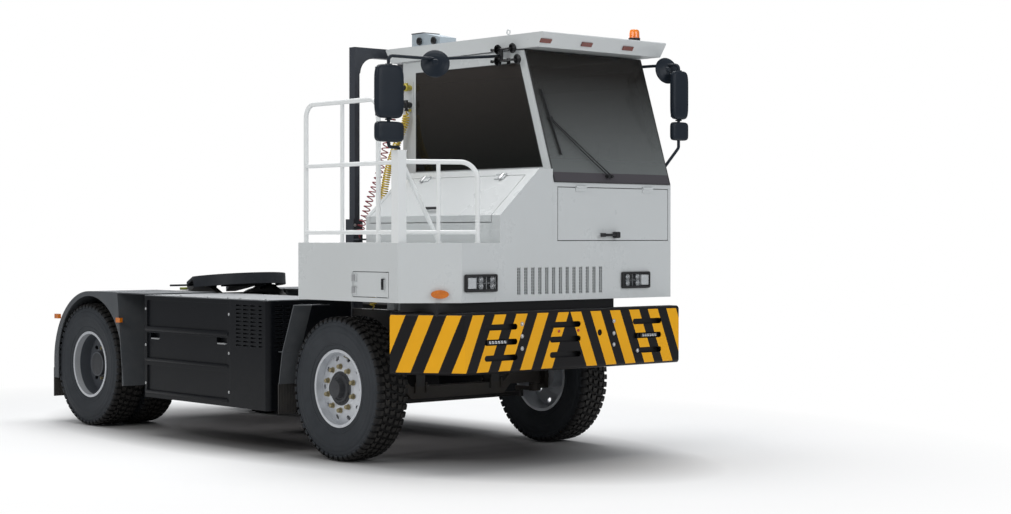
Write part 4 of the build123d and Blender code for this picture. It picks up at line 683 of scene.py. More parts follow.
hub_iron = mottled("hub_iron", (24.0, 4.0, 0.65), (0.012, 0.013, 0.016), (0.055, 0.058, 0.064),
                   (0.3, 0.45), bump=(0.0012, 0.5))
stud_circle = 0.167
stud_count = 10


def wheel_nuts(name, along, face, side):
    """Ten hexagon nuts with collars on a wheel's face."""
    collar = spun("nut_collar", [(0.0, 0.0), (0.0, 0.0225), (0.003, 0.0225), (0.0045, 0.019), (0.0045, 0.0)], 20)
    hexagon = [
        (0.0188 * math.cos(math.pi * step / 3), 0.004, 0.0188 * math.sin(math.pi * step / 3)) for step in range(6)
    ]
    crown = thickened(outline_face("nut_crown", hexagon), (0, 0.021, 0), bevel=0.0012)
    tip = spun("stud_tip", [(0.024, 0.0), (0.024, 0.0155), (0.0302, 0.0155), (0.0312, 0.0145), (0.0312, 0.0)], 16)
    nut = joined("nut", [collar, crown, tip])
    turn = outward(side)
    places = []
    for index in range(stud_count):
        angle = (index + 0.5) * 2 * math.pi / stud_count
        places.append(Matrix.Translation((
            along + stud_circle * math.cos(angle), face, axle_height + stud_circle * math.sin(angle),
        )) @ turn)
    return repeated(name, nut, places)


for side, name in ((-1, "right"), (1, "left")):
    front_face = side * 1.133
    fitted(wheel_nuts("front_nuts_" + name, front_axle, front_face, side), nut_zinc,
           "front_wheel_" + name, "rim_silver")
    hub_line = [
        (0.0005, 0.0), (0.0005, 0.131), (0.0035, 0.130), (0.0040, 0.122), (0.0015, 0.118), (0.0020, 0.112),
        (0.0170, 0.105), (0.0190, 0.092), (0.0140, 0.084), (0.0150, 0.074), (0.0500, 0.0700),
        (0.0625, 0.0680), (0.0650, 0.0560), (0.0700, 0.0300), (0.0705, 0.0),
    ]
    hub = spun("front_hub_" + name, [(side * along, radius) for along, radius in hub_line],
               48, (front_axle, front_face, axle_height))
    rib = slab("hub_rib", (-0.005, 0.0, 0.070), (0.005, 0.016, 0.112), 0.002)
    rib_turn = outward(side)
    ribs = repeated("hub_ribs", rib, [
        Matrix.Translation((front_axle, front_face, axle_height))
        @ Matrix.Rotation(index * 2 * math.pi / stud_count, 4, "Y") @ rib_turn
        for index in range(stud_count)
    ])
    fitted(joined("front_hub_" + name, [hub, ribs]), hub_iron, "front_wheel_" + name, "chassis_black")
    rear_face = side * 1.010
    fitted(wheel_nuts("rear_nuts_" + name, rear_axle, rear_face, side), nut_zinc,
           "rear_wheels_" + name, "rim_silver")
    cap_line = [
        (0.1235, 0.0), (0.1300, 0.0), (0.1290, 0.060), (0.1250, 0.098), (0.1180, 0.1095), (0.0900, 0.1100),
        (0.0880, 0.1180), (0.0600, 0.1210), (0.0100, 0.1240), (0.0010, 0.1300), (0.0010, 0.0),
    ]
    cap = spun("rear_hub_" + name, [(side * along, radius) for along, radius in cap_line],
               48, (rear_axle, rear_face, axle_height))
    fitted(cap, hub_iron, "rear_wheels_" + name, "chassis_black")
    # name, axle place, wheel face, body
    for stem_name, along, face, wheel in (
        ("front_valve_" + name, front_axle, side * 1.120, "front_wheel_" + name),
        ("rear_valve_" + name, rear_axle, side * 1.060, "rear_wheels_" + name),
    ):
        stem = pipe(stem_name, [
            (along + 0.085, face, axle_height + 0.232), (along + 0.088, face + side * 0.030, axle_height + 0.238),
            (along + 0.092, face + side * 0.052, axle_height + 0.250),
        ], 0.0042, 8)
        fitted(stem, nut_zinc, wheel, "rim_silver")

# Bumper: bent sheet steel in glossy yellow with slanted black stripes that meet in a chevron left
# of its middle and run on over the slanted right wing. Domed zinc bolts, two light bars behind
# the outer middle slots and two small red reflectors.
bumper_face = 2.770
wing_corner = -0.957
hazard = Paint("hazard_paint")
place_x, place_y, place_z = hazard.axes()
hazard_wear = hazard.noise(38.0, 5.0, 0.7)
hazard_edge = hazard.noise(90.0, 2.0) * 0.004 - 0.002
wing_run = ((bumper_face - place_x) * 0.8277 + (wing_corner - place_y) * 0.5612).clamped(0.0, 2.0)
wing_face = (place_x - bumper_face) * 0.5612 - (place_y - wing_corner) * 0.8277
outer_face = (place_x - bumper_face).most(wing_face) > -0.004
right_run = place_y.most(wing_corner) - wing_run + (1.150 - place_z) * 0.42 + hazard_edge
right_stripe = (right_run < 0.077) * (((right_run + 0.034) / 0.211).fraction() < 0.53) * (place_y < 0.077)
left_run = place_y - (1.150 - place_z) * 0.41 + hazard_edge
left_stripe = (left_run > 0.082) * (((left_run - 0.082) / 0.209).fraction() < 0.53) * (place_y > 0.077)
painted = (place_z > 0.722) * (place_z < 1.138) * outer_face
hazard_chips = (hazard_wear > 0.71) * (place_z < 0.86)
yellow = (right_stripe + left_stripe) * painted * (1.0 - hazard_chips * 0.8)
hazard_film = hazard.noise(3.0, 4.0, 0.6)
hazard_yellow = hazard.mix(hazard_film, (0.90, 0.44, 0.010), (0.76, 0.36, 0.009))
hazard_black = hazard.mix(hazard_film, (0.0045, 0.0040, 0.0050), (0.0085, 0.0080, 0.0085))
hazard.finish(
    Base_Color=hazard.mix(yellow, hazard_black, hazard_yellow),
    Roughness=hazard_film * 0.15 + hazard_wear * 0.12 + 0.26,
    Specular_IOR_Level=0.2,
)
dress(hazard.material, "bumper")

bright_zinc = mottled("bright_zinc", (60.0, 3.0), (0.62, 0.63, 0.64), (0.42, 0.42, 0.42),
                      (0.3, 0.22), Metallic=0.9)


def bolts(name, radius, facing, places, material, body, slot, dome=False):
    """Hexagon or domed bolt heads with washers, seen from the direction that they face."""
    washer = spun("washer", [(0.0, 0.0), (0.0, radius * 1.45), (radius * 0.2, radius * 1.45), (radius * 0.2, 0.0)], 16)
    if dome:
        crown = spun("dome", [(radius * 0.2, 0.0), (radius * 0.2, radius), (radius * 0.6, radius * 0.85),
                              (radius * 0.85, radius * 0.45), (radius * 0.92, 0.0)], 16)
    else:
        corners = [(radius * math.cos(math.pi * step / 3), radius * 0.2, radius * math.sin(math.pi * step / 3))
                   for step in range(6)]
        crown = thickened(outline_face("head", corners), (0, radius * 0.75, 0), bevel=radius * 0.06)
    turn = Vector(facing).to_track_quat("Y", "Z").to_matrix().to_4x4()
    heads = repeated(name, joined("bolt", [washer, crown]), [
        Matrix.Translation(Vector(place)) @ turn for place in places
    ])
    return fitted(heads, material, body, slot)


bolts("bumper_bolts", 0.011, (1, 0, 0), [
    (bumper_face, along, height) for along, height in (
        (-0.405, 1.062), (-0.405, 0.972), (-0.405, 0.881), (0.548, 1.056), (0.548, 0.962), (0.548, 0.875),
        (0.806, 0.818),
    )
], bright_zinc, "chassis", "rim_silver", dome=True)

lamp_black = mottled("lamp_black", (300.0, 2.0), (0.010, 0.010, 0.011), (0.020, 0.020, 0.022),
                     (0.2, 0.3), Specular_IOR_Level=0.3)
led_chrome = Paint("led_chrome")
led_place = led_chrome.axes()
led_glint = ((led_place[1] * 420.0).sine() * (led_place[2] * 420.0).sine()).absolute()
led_chrome.finish(
    Base_Color=led_chrome.mix(led_glint, (0.30, 0.31, 0.32), (0.80, 0.82, 0.84)),
    Metallic=0.85,
    Roughness=led_glint * 0.2 + 0.15,
)
reflector_red = Paint("reflector_red")
red_facet = reflector_red.cells(420.0)
reflector_red.finish(
    Base_Color=reflector_red.mix(red_facet, (0.55, 0.02, 0.012), (0.22, 0.008, 0.006)),
    Roughness=0.18,
    Coat_Weight=0.6,
    Normal=reflector_red.bump(red_facet, 0.001, 0.4),
)
# The black block under the body's front, and black sheets behind the bumper's slots that stand in for the shade inside
# them: painted shade.
subframe_and_slot_shade_sheets = [slab("front_subframe", (2.170, -1.080, 1.123), (2.600, 0.720, 1.2255), 0.006, 1)]
for middle in (-0.610, 0.035, 0.915):
    subframe_and_slot_shade_sheets.append(slab("slot_shade_sheet", (2.714, middle - 0.200, 0.780), (2.720, middle + 0.275, 1.085), 0.002, 1))
fitted(joined("subframe_and_slot_shade_sheets", subframe_and_slot_shade_sheets), lamp_black, "chassis", "horn_black")
for name, low, high in (("right", -0.738, -0.540), ("left", 0.852, 1.038)):
    back = slab("light_bar_back_" + name, (2.724, low - 0.02, 0.900), (2.7448, high + 0.02, 0.970), 0.004, 1)
    house = slab("light_bar_house_" + name, (2.738, low, 0.918), (2.763, high, 0.952), 0.004, 1)
    fitted(joined("light_bar_" + name, [back, house]), lamp_black, "chassis", "horn_black")
    cell = slab("light_cell", (-0.004, -0.011, -0.011), (0.004, 0.011, 0.011), 0.004, 2)
    count = 6
    pitch = (high - low - 0.024) / count
    cells = repeated("light_cells_" + name, cell, [
        Matrix.Translation((2.7635, low + 0.012 + (index + 0.5) * pitch, 0.935)) for index in range(count)
    ])
    fitted(cells, led_chrome.material, "chassis", "lamp_clear")
for index, along in enumerate((-0.034, 0.167)):
    disc = spun("reflector", [(0.0, 0.0), (0.0, 0.011), (0.004, 0.011), (0.006, 0.008), (0.006, 0.0)], 24)
    disc = repeated(f"bumper_reflector_{index}", disc, [
        Matrix.Translation((bumper_face, along, 0.997)) @ to_front
    ])
    fitted(disc, reflector_red.material, "chassis", "lamp_red")

# Headlamps: flat rectangular units with a black surround, a cluster of four projector lenses in
# the inner two thirds and a plain ribbed indicator lens in the outer third, behind clear covers.
lamp_cover = Paint("lamp_cover")
cover_haze = lamp_cover.noise(14.0, 3.0)
lamp_cover.finish(
    Base_Color=lamp_cover.mix(cover_haze, (0.10, 0.11, 0.12), (0.05, 0.055, 0.06)),
    Roughness=0.04,
    Alpha=cover_haze * 0.06 + 0.06,
    Specular_IOR_Level=0.3,
)
plain_lens = Paint("plain_lens")
lens_ribs = (plain_lens.axes()[1] * 900.0).sine().absolute()
plain_lens.finish(
    Base_Color=plain_lens.mix(lens_ribs, (0.50, 0.53, 0.55), (0.85, 0.88, 0.90)),
    Roughness=0.2,
    Coat_Weight=0.5,
    Normal=plain_lens.bump(lens_ribs, 0.001, 0.5),
)


def sunk(piece, facing, rim, depth):
    """Presses the largest face that looks in a direction inwards, leaving a rim round it."""
    only(piece)
    bpy.ops.object.mode_set(mode="EDIT")
    shape = bmesh.from_edit_mesh(piece.data)
    aim = Vector(facing)
    chosen = max((face for face in shape.faces if face.normal.dot(aim) > 0.95), key=lambda face: face.calc_area())
    bpy.ops.mesh.select_all(action="DESELECT")
    chosen.select = True
    bmesh.update_edit_mesh(piece.data)
    bpy.ops.mesh.inset(thickness=rim)
    bpy.ops.mesh.extrude_region_move(TRANSFORM_OT_translate={"value": [-part * depth for part in facing]})
    bpy.ops.object.mode_set(mode="OBJECT")
    return piece


for name, low, high, plain_low, plain_high in (
    ("right", -0.893, -0.580, -0.872, -0.790), ("left", 0.712, 1.025, 0.922, 1.004),
):
    frame_ring = slab("headlamp_frame_" + name, (2.680, low, 1.302), (2.706, high, 1.432), 0.012, 3)
    sunk(frame_ring, (1, 0, 0), 0.008, 0.016)
    fitted(frame_ring, lamp_black, "chassis", "horn_black", "headlamps")
    plain = slab("indicator_lens_" + name, (2.6895, plain_low, 1.326), (2.7025, plain_high, 1.408), 0.006, 2)
    fitted(plain, plain_lens.material, "chassis", "lamp_clear")
    middle = (low + high) / 2 + (0.045 if name == "right" else -0.045)
    bowls = []
    for across in (-0.055, 0.055):
        for up in (-0.024, 0.024):
            bowls.append((middle + across, 1.367 + up))
    bowl = spun("lamp_bowl", [(-0.006, 0.0), (-0.006, 0.012), (0.004, 0.0235), (0.0065, 0.0235), (0.0065, 0.020),
                              (-0.003, 0.010), (-0.003, 0.0)], 28)
    bulb = spun("lamp_eye", [(-0.003, 0.0), (-0.003, 0.0105), (0.002, 0.0085), (0.0045, 0.004), (0.005, 0.0)], 20)
    bowl = joined("lamp_eye_bowl", [bowl, bulb])
    cluster = repeated("lamp_cluster_" + name, bowl, [
        Matrix.Translation((2.6955, along, height)) @ to_front
        for along, height in bowls
    ])
    bars = [
        slab("lamp_bar", (2.690, middle - 0.094, 1.3645), (2.6985, middle + 0.094, 1.3695)),
        slab("lamp_bar", (2.690, middle - 0.0025, 1.322), (2.6985, middle + 0.0025, 1.412)),
        slab("lamp_bar", (2.690, middle - 0.096, 1.320), (2.6975, middle - 0.088, 1.414), 0.002, 1),
        slab("lamp_bar", (2.690, middle + 0.088, 1.320), (2.6975, middle + 0.096, 1.414), 0.002, 1),
    ]
    fitted(joined("lamp_insides_" + name, [cluster, *bars]), led_chrome.material, "chassis", "lamp_clear")
    cover = slab("headlamp_cover_" + name, (2.7035, low + 0.0085, 1.3105), (2.7052, high - 0.0085, 1.4235), 0.0008, 1)
    fitted(cover, lamp_cover.material, "chassis", "lamp_clear")

# Vents: thirteen upright openings in the front, each with a pressed lattice of slanted bars in the
# body's colour that leaves two columns of small holes, with a black sheet behind as painted shade.
lattice_low = 1.273
lattice_high = 1.477
rows = 9
row_pitch = (lattice_high - lattice_low) / rows
bar_run = 0.0185
slat = slab("lattice_bar", (-0.001, -bar_run / 2, -0.0017), (0.001, bar_run / 2, 0.0017))
upright = slab("lattice_upright", (2.674, -0.0014, lattice_low), (2.678, 0.0014, lattice_high))
bar_places = []
upright_places = []
for column in range(13):
    centre = -0.356 + column * (0.493 + 0.356) / 12
    upright_places.append(Matrix.Translation((0, centre, 0)))
    for row in range(rows + 1):
        height = lattice_low + row * row_pitch
        for side in (-1, 1):
            bar_places.append(
                Matrix.Translation((2.676, centre + side * 0.0085,
                                    min(max(height, lattice_low + 0.003), lattice_high - 0.003)))
                @ Matrix.Rotation(-side * math.radians(24), 4, "X")
            )
lattice = joined("vent_lattice", [
    repeated("lattice_bars", slat, bar_places), repeated("lattice_uprights", upright, upright_places),
])
fitted(lattice, white_enamel, "chassis", "white_paint")
# A black sheet behind the lattice: painted shade inside the openings.
vent_shade_sheet = slab("vent_shade_sheet", (2.6065, -0.385, 1.262), (2.6095, 0.522, 1.488))
fitted(vent_shade_sheet, lamp_black, "chassis", "horn_black")

# Marker lamps: faceted amber lenses on the slanted corner and over the rear wheels; dark red
# lenses under the visor.
amber_lens = Paint("amber_lens")
amber_facet = amber_lens.cells(95.0)
amber_fade = amber_lens.noise(22.0, 2.0)
amber_lens.finish(
    Base_Color=amber_lens.mix(amber_fade, (0.78, 0.22, 0.012), (0.42, 0.10, 0.010)),
    Roughness=0.12,
    Coat_Weight=0.7,
    Normal=amber_lens.bump(amber_facet, 0.004, 0.5),
)
dress(amber_lens.material, "amber_lamps")
visor_red = Paint("visor_lens")
visor_facet = visor_red.cells(110.0)
visor_red.finish(
    Base_Color=visor_red.mix(visor_facet, (0.20, 0.035, 0.018), (0.11, 0.018, 0.012)),
    Roughness=0.2,
    Coat_Weight=0.4,
    Normal=visor_red.bump(visor_facet, 0.002, 0.5),
)
dress(visor_red.material, "visor_lamps")

# Handles, latches and hinges in black: the grips of the hatch and of the front lid, the zinc
# latches at the hatch's top edge, and the service door's hinges and latch.
soft_black = Paint("soft_black")
black_grain = soft_black.noise(240.0, 3.0)
black_dust = soft_black.noise(7.0, 4.0, 0.65)
soft_black.finish(
    Base_Color=soft_black.mix(black_dust, (0.008, 0.009, 0.011), (0.026, 0.026, 0.027)),
    Roughness=black_grain * 0.2 + 0.34,
    Specular_IOR_Level=0.3,
    Normal=soft_black.bump(black_grain, 0.0004, 0.3),
)
hatch_grip = pipe("hatch_grip", [(1.757, -0.5084, 1.9258), (1.903, -0.5084, 1.9258)], 0.0108, 16)
fitted(hatch_grip, soft_black.material, "console_hatch", "horn_black")
lid_grip = [
    pipe("lid_grip_bar", [(2.716, 0.482, 1.719), (2.716, 0.646, 1.719)], 0.0115, 16),
    slab("lid_grip_end", (2.680, 0.618, 1.694), (2.734, 0.662, 1.744), 0.010, 3),
    slab("lid_grip_foot", (2.680, 0.486, 1.704), (2.726, 0.512, 1.734), 0.006, 2),
    slab("lid_grip_tab", (2.704, 0.462, 1.710), (2.728, 0.500, 1.728), 0.006, 2),
]
fitted(joined("lid_grip", lid_grip), soft_black.material, "front_lid", "horn_black")
latch_turn = Matrix.Rotation(math.atan2(352, 392), 4, "X")
for index, along in enumerate((1.392, 2.333)):
    latch = joined("hatch_latch", [
        slab("latch_plate", (-0.040, -0.030, 0.0), (0.040, 0.020, 0.006), 0.002, 1),
        slab("latch_lever", (-0.016, -0.042, 0.004), (0.016, 0.026, 0.020), 0.006, 2),
    ])
    latch = repeated(f"hatch_latch_{index}", latch, [
        Matrix.Translation((along, -0.2115, 2.1617)) @ latch_turn
    ])
    fitted(latch, bright_zinc, "console_hatch", "rim_silver")
service_trim = [
    slab("service_latch", (2.212, -1.2885, 1.318), (2.246, -1.2745, 1.400), 0.004, 2),
    slab("service_latch_lever", (2.220, -1.2945, 1.338), (2.238, -1.2860, 1.380), 0.003, 2),
]
fitted(joined("service_latch", service_trim), soft_black.material, "service_door", "horn_black")
hinge_grey = enamel("hinge_grey", (0.30, 0.31, 0.32), 0.4, 0.8)
hinges = [
    slab("service_hinge", (1.857, -1.2905, height - 0.024), (1.900, -1.2745, height + 0.024), 0.004, 2)
    for height in (1.313, 1.402)
]
fitted(joined("service_hinges", hinges), hinge_grey, "service_door", "cast_grey")

# Glazing: bronze-tinted safety glass, nearly black from outside, with a painted reflection that makes the side panes
# lighter towards the roof and the windscreen lighter towards its foot; a printed band along the windscreen's foot, held
# in black rubber profiles.
tinted = Paint("tinted_glass")
pane_x, _, pane_z = tinted.axes()
pane_film = tinted.noise(1.6, 3.0, 0.5)
# Painted reflection: the side panes lighter towards the roof, the windscreen lighter and clearer towards its foot.
side_pane_reflection_rise = ((pane_z - 2.30) / 0.75).clamped(0.0, 1.0)
screen_slope = 0.3259
pane_front = (pane_x + pane_z * screen_slope) > 3.325
foot_band = (pane_z < 2.196) * (pane_x > 2.60)
side_pane_with_reflection = tinted.mix(side_pane_reflection_rise, (0.006, 0.0065, 0.005), (0.034, 0.029, 0.026))
screen_reflection_low = 1.0 - ((pane_z - 2.18) / 0.80).clamped(0.0, 1.0)
screen_with_reflection = tinted.mix(screen_reflection_low, (0.024, 0.022, 0.020), (0.190, 0.205, 0.205))
pane_base = tinted.mix(pane_front, side_pane_with_reflection, screen_with_reflection)
tinted.finish(
    Base_Color=tinted.mix(foot_band, pane_base, (0.075, 0.070, 0.078)),
    Roughness=pane_film * 0.02 + 0.03,
    Alpha=((1.0 - pane_front) * 0.20 + foot_band * 0.4 - screen_reflection_low * 0.10 + 0.76).clamped(0.0, 0.98),
    IOR=1.45,
    Specular_IOR_Level=0.25,
)
dress(tinted.material, "cab_glass", "rear_door_glass")


def screen_line(height, outwards=0.0):
    """The windscreen's outer face at a height, in metres forward."""
    return 2.680 - (height - 2.117) * screen_slope + outwards


side_glass = [
    (1.040, 2.238), (screen_line(2.238) - 0.076, 2.238), (screen_line(3.042) - 0.076, 3.042), (1.040, 3.042),
]
gaskets = []
for wall in (-0.0115, 1.2755):
    gaskets.append(pipe("side_gasket", [(along, wall, height) for along, height in side_glass], 0.0045, 8,
                        closed=True))
rear_pane = [(0.880, 2.302), (1.148, 2.302), (1.148, 3.028), (0.880, 3.028)]
gaskets.append(pipe("rear_gasket", [(0.8675, along, height) for along, height in rear_pane], 0.0045, 8, closed=True))
fitted(joined("window_gaskets", gaskets), seal_rubber, "chassis", "dark_plastic")
screen_gasket = pipe("screen_gasket", [
    (screen_line(height, 0.0095), along, height) for along, height in (
        (0.004, 2.121), (1.260, 2.121), (1.260, 3.136), (0.004, 3.136),
    )
], 0.0035, 8, closed=True)
fitted(screen_gasket, seal_rubber, "chassis", "dark_plastic")

# Cab inside: a ribbed rubber mat, a dashboard in grained plastic with a binnacle, switches and a
# display, and a sprung driver's seat.
mat = Paint("floor_mat")
mat_ribs = (mat.axes()[1] * 260.0).sine().absolute()
mat_dust = mat.noise(8.0, 4.0, 0.6)
mat.finish(
    Base_Color=mat.mix(mat_dust, (0.022, 0.022, 0.023), (0.060, 0.056, 0.050)),
    Roughness=mat_dust * 0.2 + 0.65,
    Normal=mat.bump(mat_ribs, 0.003, 0.6),
)
dress(mat.material, "cab_floor")
dash_plastic = Paint("dash_plastic")
dash_grain = dash_plastic.cells(520.0)
dash_fade = dash_plastic.noise(3.0, 3.0)
dash_plastic.finish(
    Base_Color=dash_plastic.mix(dash_fade, (0.020, 0.022, 0.025), (0.034, 0.036, 0.040)),
    Roughness=dash_fade * 0.1 + 0.5,
    Normal=dash_plastic.bump(dash_grain, 0.0006, 0.5),
)
dress(dash_plastic.material, "dashboard")
binnacle = slab("binnacle", (2.16, 0.44, 2.30), (2.34, 0.80, 2.385), 0.03, 4)
cluster = slab("gauge_cluster", (2.152, 0.465, 2.312), (2.162, 0.775, 2.372), 0.004, 2)
display = slab("dash_display", (2.14, 0.985, 2.325), (2.165, 1.205, 2.47), 0.008, 2)
display_foot = slab("display_foot", (2.165, 1.075, 2.28), (2.20, 1.115, 2.42), 0.006, 2)
fitted(joined("dash_binnacle", [binnacle, display, display_foot]), dash_plastic.material, "chassis", "dark_plastic")
gauge_face = Paint("gauge_face")
gauge_place = gauge_face.axes()
gauge_marks = (gauge_place[1] * 300.0).sine().absolute()
gauge_face.finish(
    Base_Color=gauge_face.mix(gauge_marks, (0.006, 0.008, 0.010), (0.05, 0.06, 0.065)),
    Roughness=gauge_marks * 0.05 + 0.08,
    Coat_Weight=0.6,
)
fitted(cluster, gauge_face.material, "chassis", "dark_plastic")
switch = slab("switch", (-0.006, -0.011, -0.017), (0.006, 0.011, 0.017), 0.003, 2)
switch_places = [Matrix.Translation((2.145, 0.12 + index * 0.034, 2.245)) for index in range(7)]
fitted(repeated("dash_switches", switch, switch_places), lamp_black, "chassis", "dark_plastic")

seat_cloth = Paint("seat_cloth")
weave_place = seat_cloth.axes()
weave = ((weave_place[0] * 1600.0).sine() * (weave_place[1] * 1600.0).sine() + (weave_place[2] * 1600.0).sine())
cloth_fade = seat_cloth.noise(12.0, 4.0, 0.6)
seat_cloth.finish(
    Base_Color=seat_cloth.mix(cloth_fade, (0.045, 0.048, 0.055), (0.085, 0.088, 0.095)),
    Roughness=cloth_fade * 0.1 + 0.82,
    Normal=seat_cloth.bump(weave, 0.0005, 0.5),
)


def plumped(piece, voxel, cap):
    """Blows a pad up as padded cloth: remeshed, filled by pressure, and held near its shape."""
    only(piece)
    grid = piece.modifiers.new("grid", "REMESH")
    grid.mode = "VOXEL"
    grid.voxel_size = voxel
    bpy.ops.object.modifier_apply(modifier="grid")
    rest = [vertex.co.copy() for vertex in piece.data.vertices]
    cloth = piece.modifiers.new("filling", "CLOTH")
    cloth.settings.use_pressure = True
    cloth.settings.uniform_pressure_force = 4.0
    cloth.settings.tension_stiffness = 8.0
    cloth.settings.effector_weights.gravity = 0.0
    scene = bpy.context.scene
    for step in range(1, 19):
        scene.frame_set(step)
    bpy.ops.object.modifier_apply(modifier="filling")
    scene.frame_set(1)
    for vertex, start in zip(piece.data.vertices, rest):
        moved = vertex.co - start
        if moved.length > cap:
            vertex.co = start + moved * (cap / moved.length)
    piece.data.shade_smooth()
    return piece


def leaned(piece, turn, pivot):
    """Turns a piece's mesh about a pivot, in degrees."""
    piece.data.transform(
        Matrix.Translation(pivot) @ Matrix.Rotation(math.radians(turn), 4, "Y") @ Matrix.Translation(-Vector(pivot))
    )


def padded_slab(name, low, high, turn, pivot):
    pad = slab(name, low, high, 0.030, 4)
    leaned(pad, turn, pivot)
    return fitted(plumped(pad, 0.009, 0.012), seat_cloth.material, "chassis", "seat_cloth", "seat")


back_hinge = (1.250, 0.62, 2.20)
seat_lean = -6.8
padded_slab("seat_cushion", (1.310, 0.385, 2.100), (1.665, 0.855, 2.190), 0, back_hinge)
padded_slab("seat_back", (1.205, 0.395, 2.215), (1.292, 0.845, 2.680), seat_lean, back_hinge)
padded_slab("seat_headrest", (1.212, 0.490, 2.705), (1.285, 0.750, 2.835), seat_lean, back_hinge)
seat_frame = [
    slab("seat_pan", (1.215, 0.400, 2.068), (1.640, 0.840, 2.102), 0.010, 2),
    slab("seat_shell", (1.188, 0.410, 2.095), (1.214, 0.830, 2.660), 0.010, 2),
    slab("seat_base", (1.265, 0.450, 1.701), (1.605, 0.790, 1.760), 0.008, 2),
]
leaned(seat_frame[1], seat_lean, back_hinge)
folds = []
for index in range(6):
    inset = 0.0 if index % 2 else 0.018
    low = 1.760 + index * 0.0515
    folds.append(slab("seat_bellows", (1.275 + inset, 0.460 + inset, low), (1.595 - inset, 0.780 - inset, low + 0.052),
                      0.006, 1))
fitted(joined("seat_frame", seat_frame + folds), soft_black.material, "chassis", "dark_plastic")

# Mirrors: moulded housings with crowned backs on bent tube arms, a tall and a small one on each
# side, and a round dished mirror on each arm; silvered glass faces the driver.
housing_plastic = Paint("housing_plastic")
housing_grain = housing_plastic.cells(900.0)
housing_fade = housing_plastic.noise(4.0, 3.0)
housing_plastic.finish(
    Base_Color=housing_plastic.mix(housing_fade, (0.008, 0.0125, 0.020), (0.014, 0.020, 0.029)),
    Roughness=housing_fade * 0.12 + 0.34,
    Specular_IOR_Level=0.22,
    Normal=housing_plastic.bump(housing_grain, 0.0003, 0.4),
)
silver_glass = mottled("silver_glass", (20.0, 3.0), (0.80, 0.82, 0.83), (0.70, 0.72, 0.73),
                       (0.03, 0.02), Metallic=1.0)


def crowned(name, low, high, power, rear_share):
    """A box with crowned faces and rounded corners that fills the space between two corners."""
    piece = slab(name, (-1, -1, -1), (1, 1, 1))
    bpy.ops.object.mode_set(mode="EDIT")
    bpy.ops.mesh.select_all(action="SELECT")
    bpy.ops.mesh.subdivide(number_cuts=14)
    bpy.ops.object.mode_set(mode="OBJECT")
    middle = Vector([(a + b) / 2 for a, b in zip(low, high)])
    half = Vector([(b - a) / 2 for a, b in zip(low, high)])
    for vertex in piece.data.vertices:
        spread = [abs(part) for part in vertex.co]
        share = max(spread) / sum(part ** power for part in spread) ** (1 / power)
        rounded = vertex.co * share
        if rounded.x < 0:
            rounded.x *= rear_share
        vertex.co = middle + Vector([part * size for part, size in zip(rounded, half)])
    piece.data.shade_smooth()
    return piece


def rounded_line(points, radius):
    """A line of points whose corners are drawn as arcs."""
    steps = 8
    points = [Vector(point) for point in points]
    line = [points[0]]
    for before, corner, after in zip(points[:-2], points[1:-1], points[2:]):
        run_in = (before - corner).normalized()
        run_out = (after - corner).normalized()
        half = run_in.angle(run_out) / 2
        reach = min(radius / math.tan(half), (before - corner).length * 0.45, (after - corner).length * 0.45)
        bend = reach * math.tan(half)
        middle = corner + (run_in + run_out).normalized() * (bend / math.sin(half))
        start = (corner + run_in * reach - middle).normalized()
        end = (corner + run_out * reach - middle).normalized()
        for step in range(steps + 1):
            line.append(middle + start.slerp(end, step / steps) * bend)
    line.append(points[-1])
    return line


mirror_glass = []
mirror_parts = []
# side, middle along, low and high across, lift
for centre, low_y, high_y, lift in ((2.365, -1.460, -1.210, 0.0), (2.677, 1.280, 1.460, 0.088)):
    for low_z, high_z in ((2.558, 2.945), (2.388, 2.536)):
        mirror_parts.append(crowned("housing", (centre - 0.035, low_y, low_z + lift),
                                    (centre + 0.035, high_y, high_z + lift), 5.5, 0.45))
        mirror_glass.append(slab("mirror_pane", (centre - 0.0185, low_y + 0.016, low_z + lift + 0.016),
                                 (centre - 0.0145, high_y - 0.016, high_z + lift - 0.016), 0.0015, 1))
dish_line = [
    (-0.003, 0.0), (-0.003, 0.100), (0.0, 0.107), (0.007, 0.107), (0.011, 0.101), (0.019, 0.080), (0.027, 0.052),
    (0.031, 0.027), (0.038, 0.022), (0.043, 0.016), (0.043, 0.0),
]
pane_line = [(-0.0125, 0.0), (-0.0115, 0.030), (-0.0085, 0.065), (-0.0035, 0.098), (-0.002, 0.098), (-0.002, 0.0)]
for centre, aim in (((2.383, -0.915, 2.974), (0.75, -0.6, 0.3)), ((2.575, 1.335, 3.040), (1.0, -0.2, 0.2))):
    placed = Matrix.Translation(Vector(centre)) @ Vector(aim).to_track_quat("Y", "Z").to_matrix().to_4x4()
    mirror_parts.append(repeated("round_mirror", spun("dish", dish_line, 56), [placed]))
    mirror_glass.append(repeated("round_pane", spun("pane", pane_line, 56), [placed]))
for name, route in (
    ("right_arm", ((2.072, -0.026, 3.108), (2.383, -0.915, 3.010), (2.365, -1.335, 3.010), (2.365, -1.335, 2.930))),
    ("right_stay", ((2.365, -1.335, 2.405), (2.365, -1.335, 2.353), (2.359, -1.236, 2.353), (2.359, -1.236, 2.3284))),
    ("left_arm", ((2.315, 1.289, 3.085), (2.575, 1.335, 3.085), (2.677, 1.370, 3.085), (2.677, 1.370, 3.010))),
    ("left_stay", ((2.677, 1.370, 2.500), (2.677, 1.370, 2.418), (2.575, 1.289, 2.240))),
    ("right_link", ((2.365, -1.335, 2.520), (2.365, -1.335, 2.575))),
    ("left_link", ((2.677, 1.370, 2.610), (2.677, 1.370, 2.665))),
):
    mirror_parts.append(pipe(name, rounded_line(route, 0.045), 0.0125, 16))
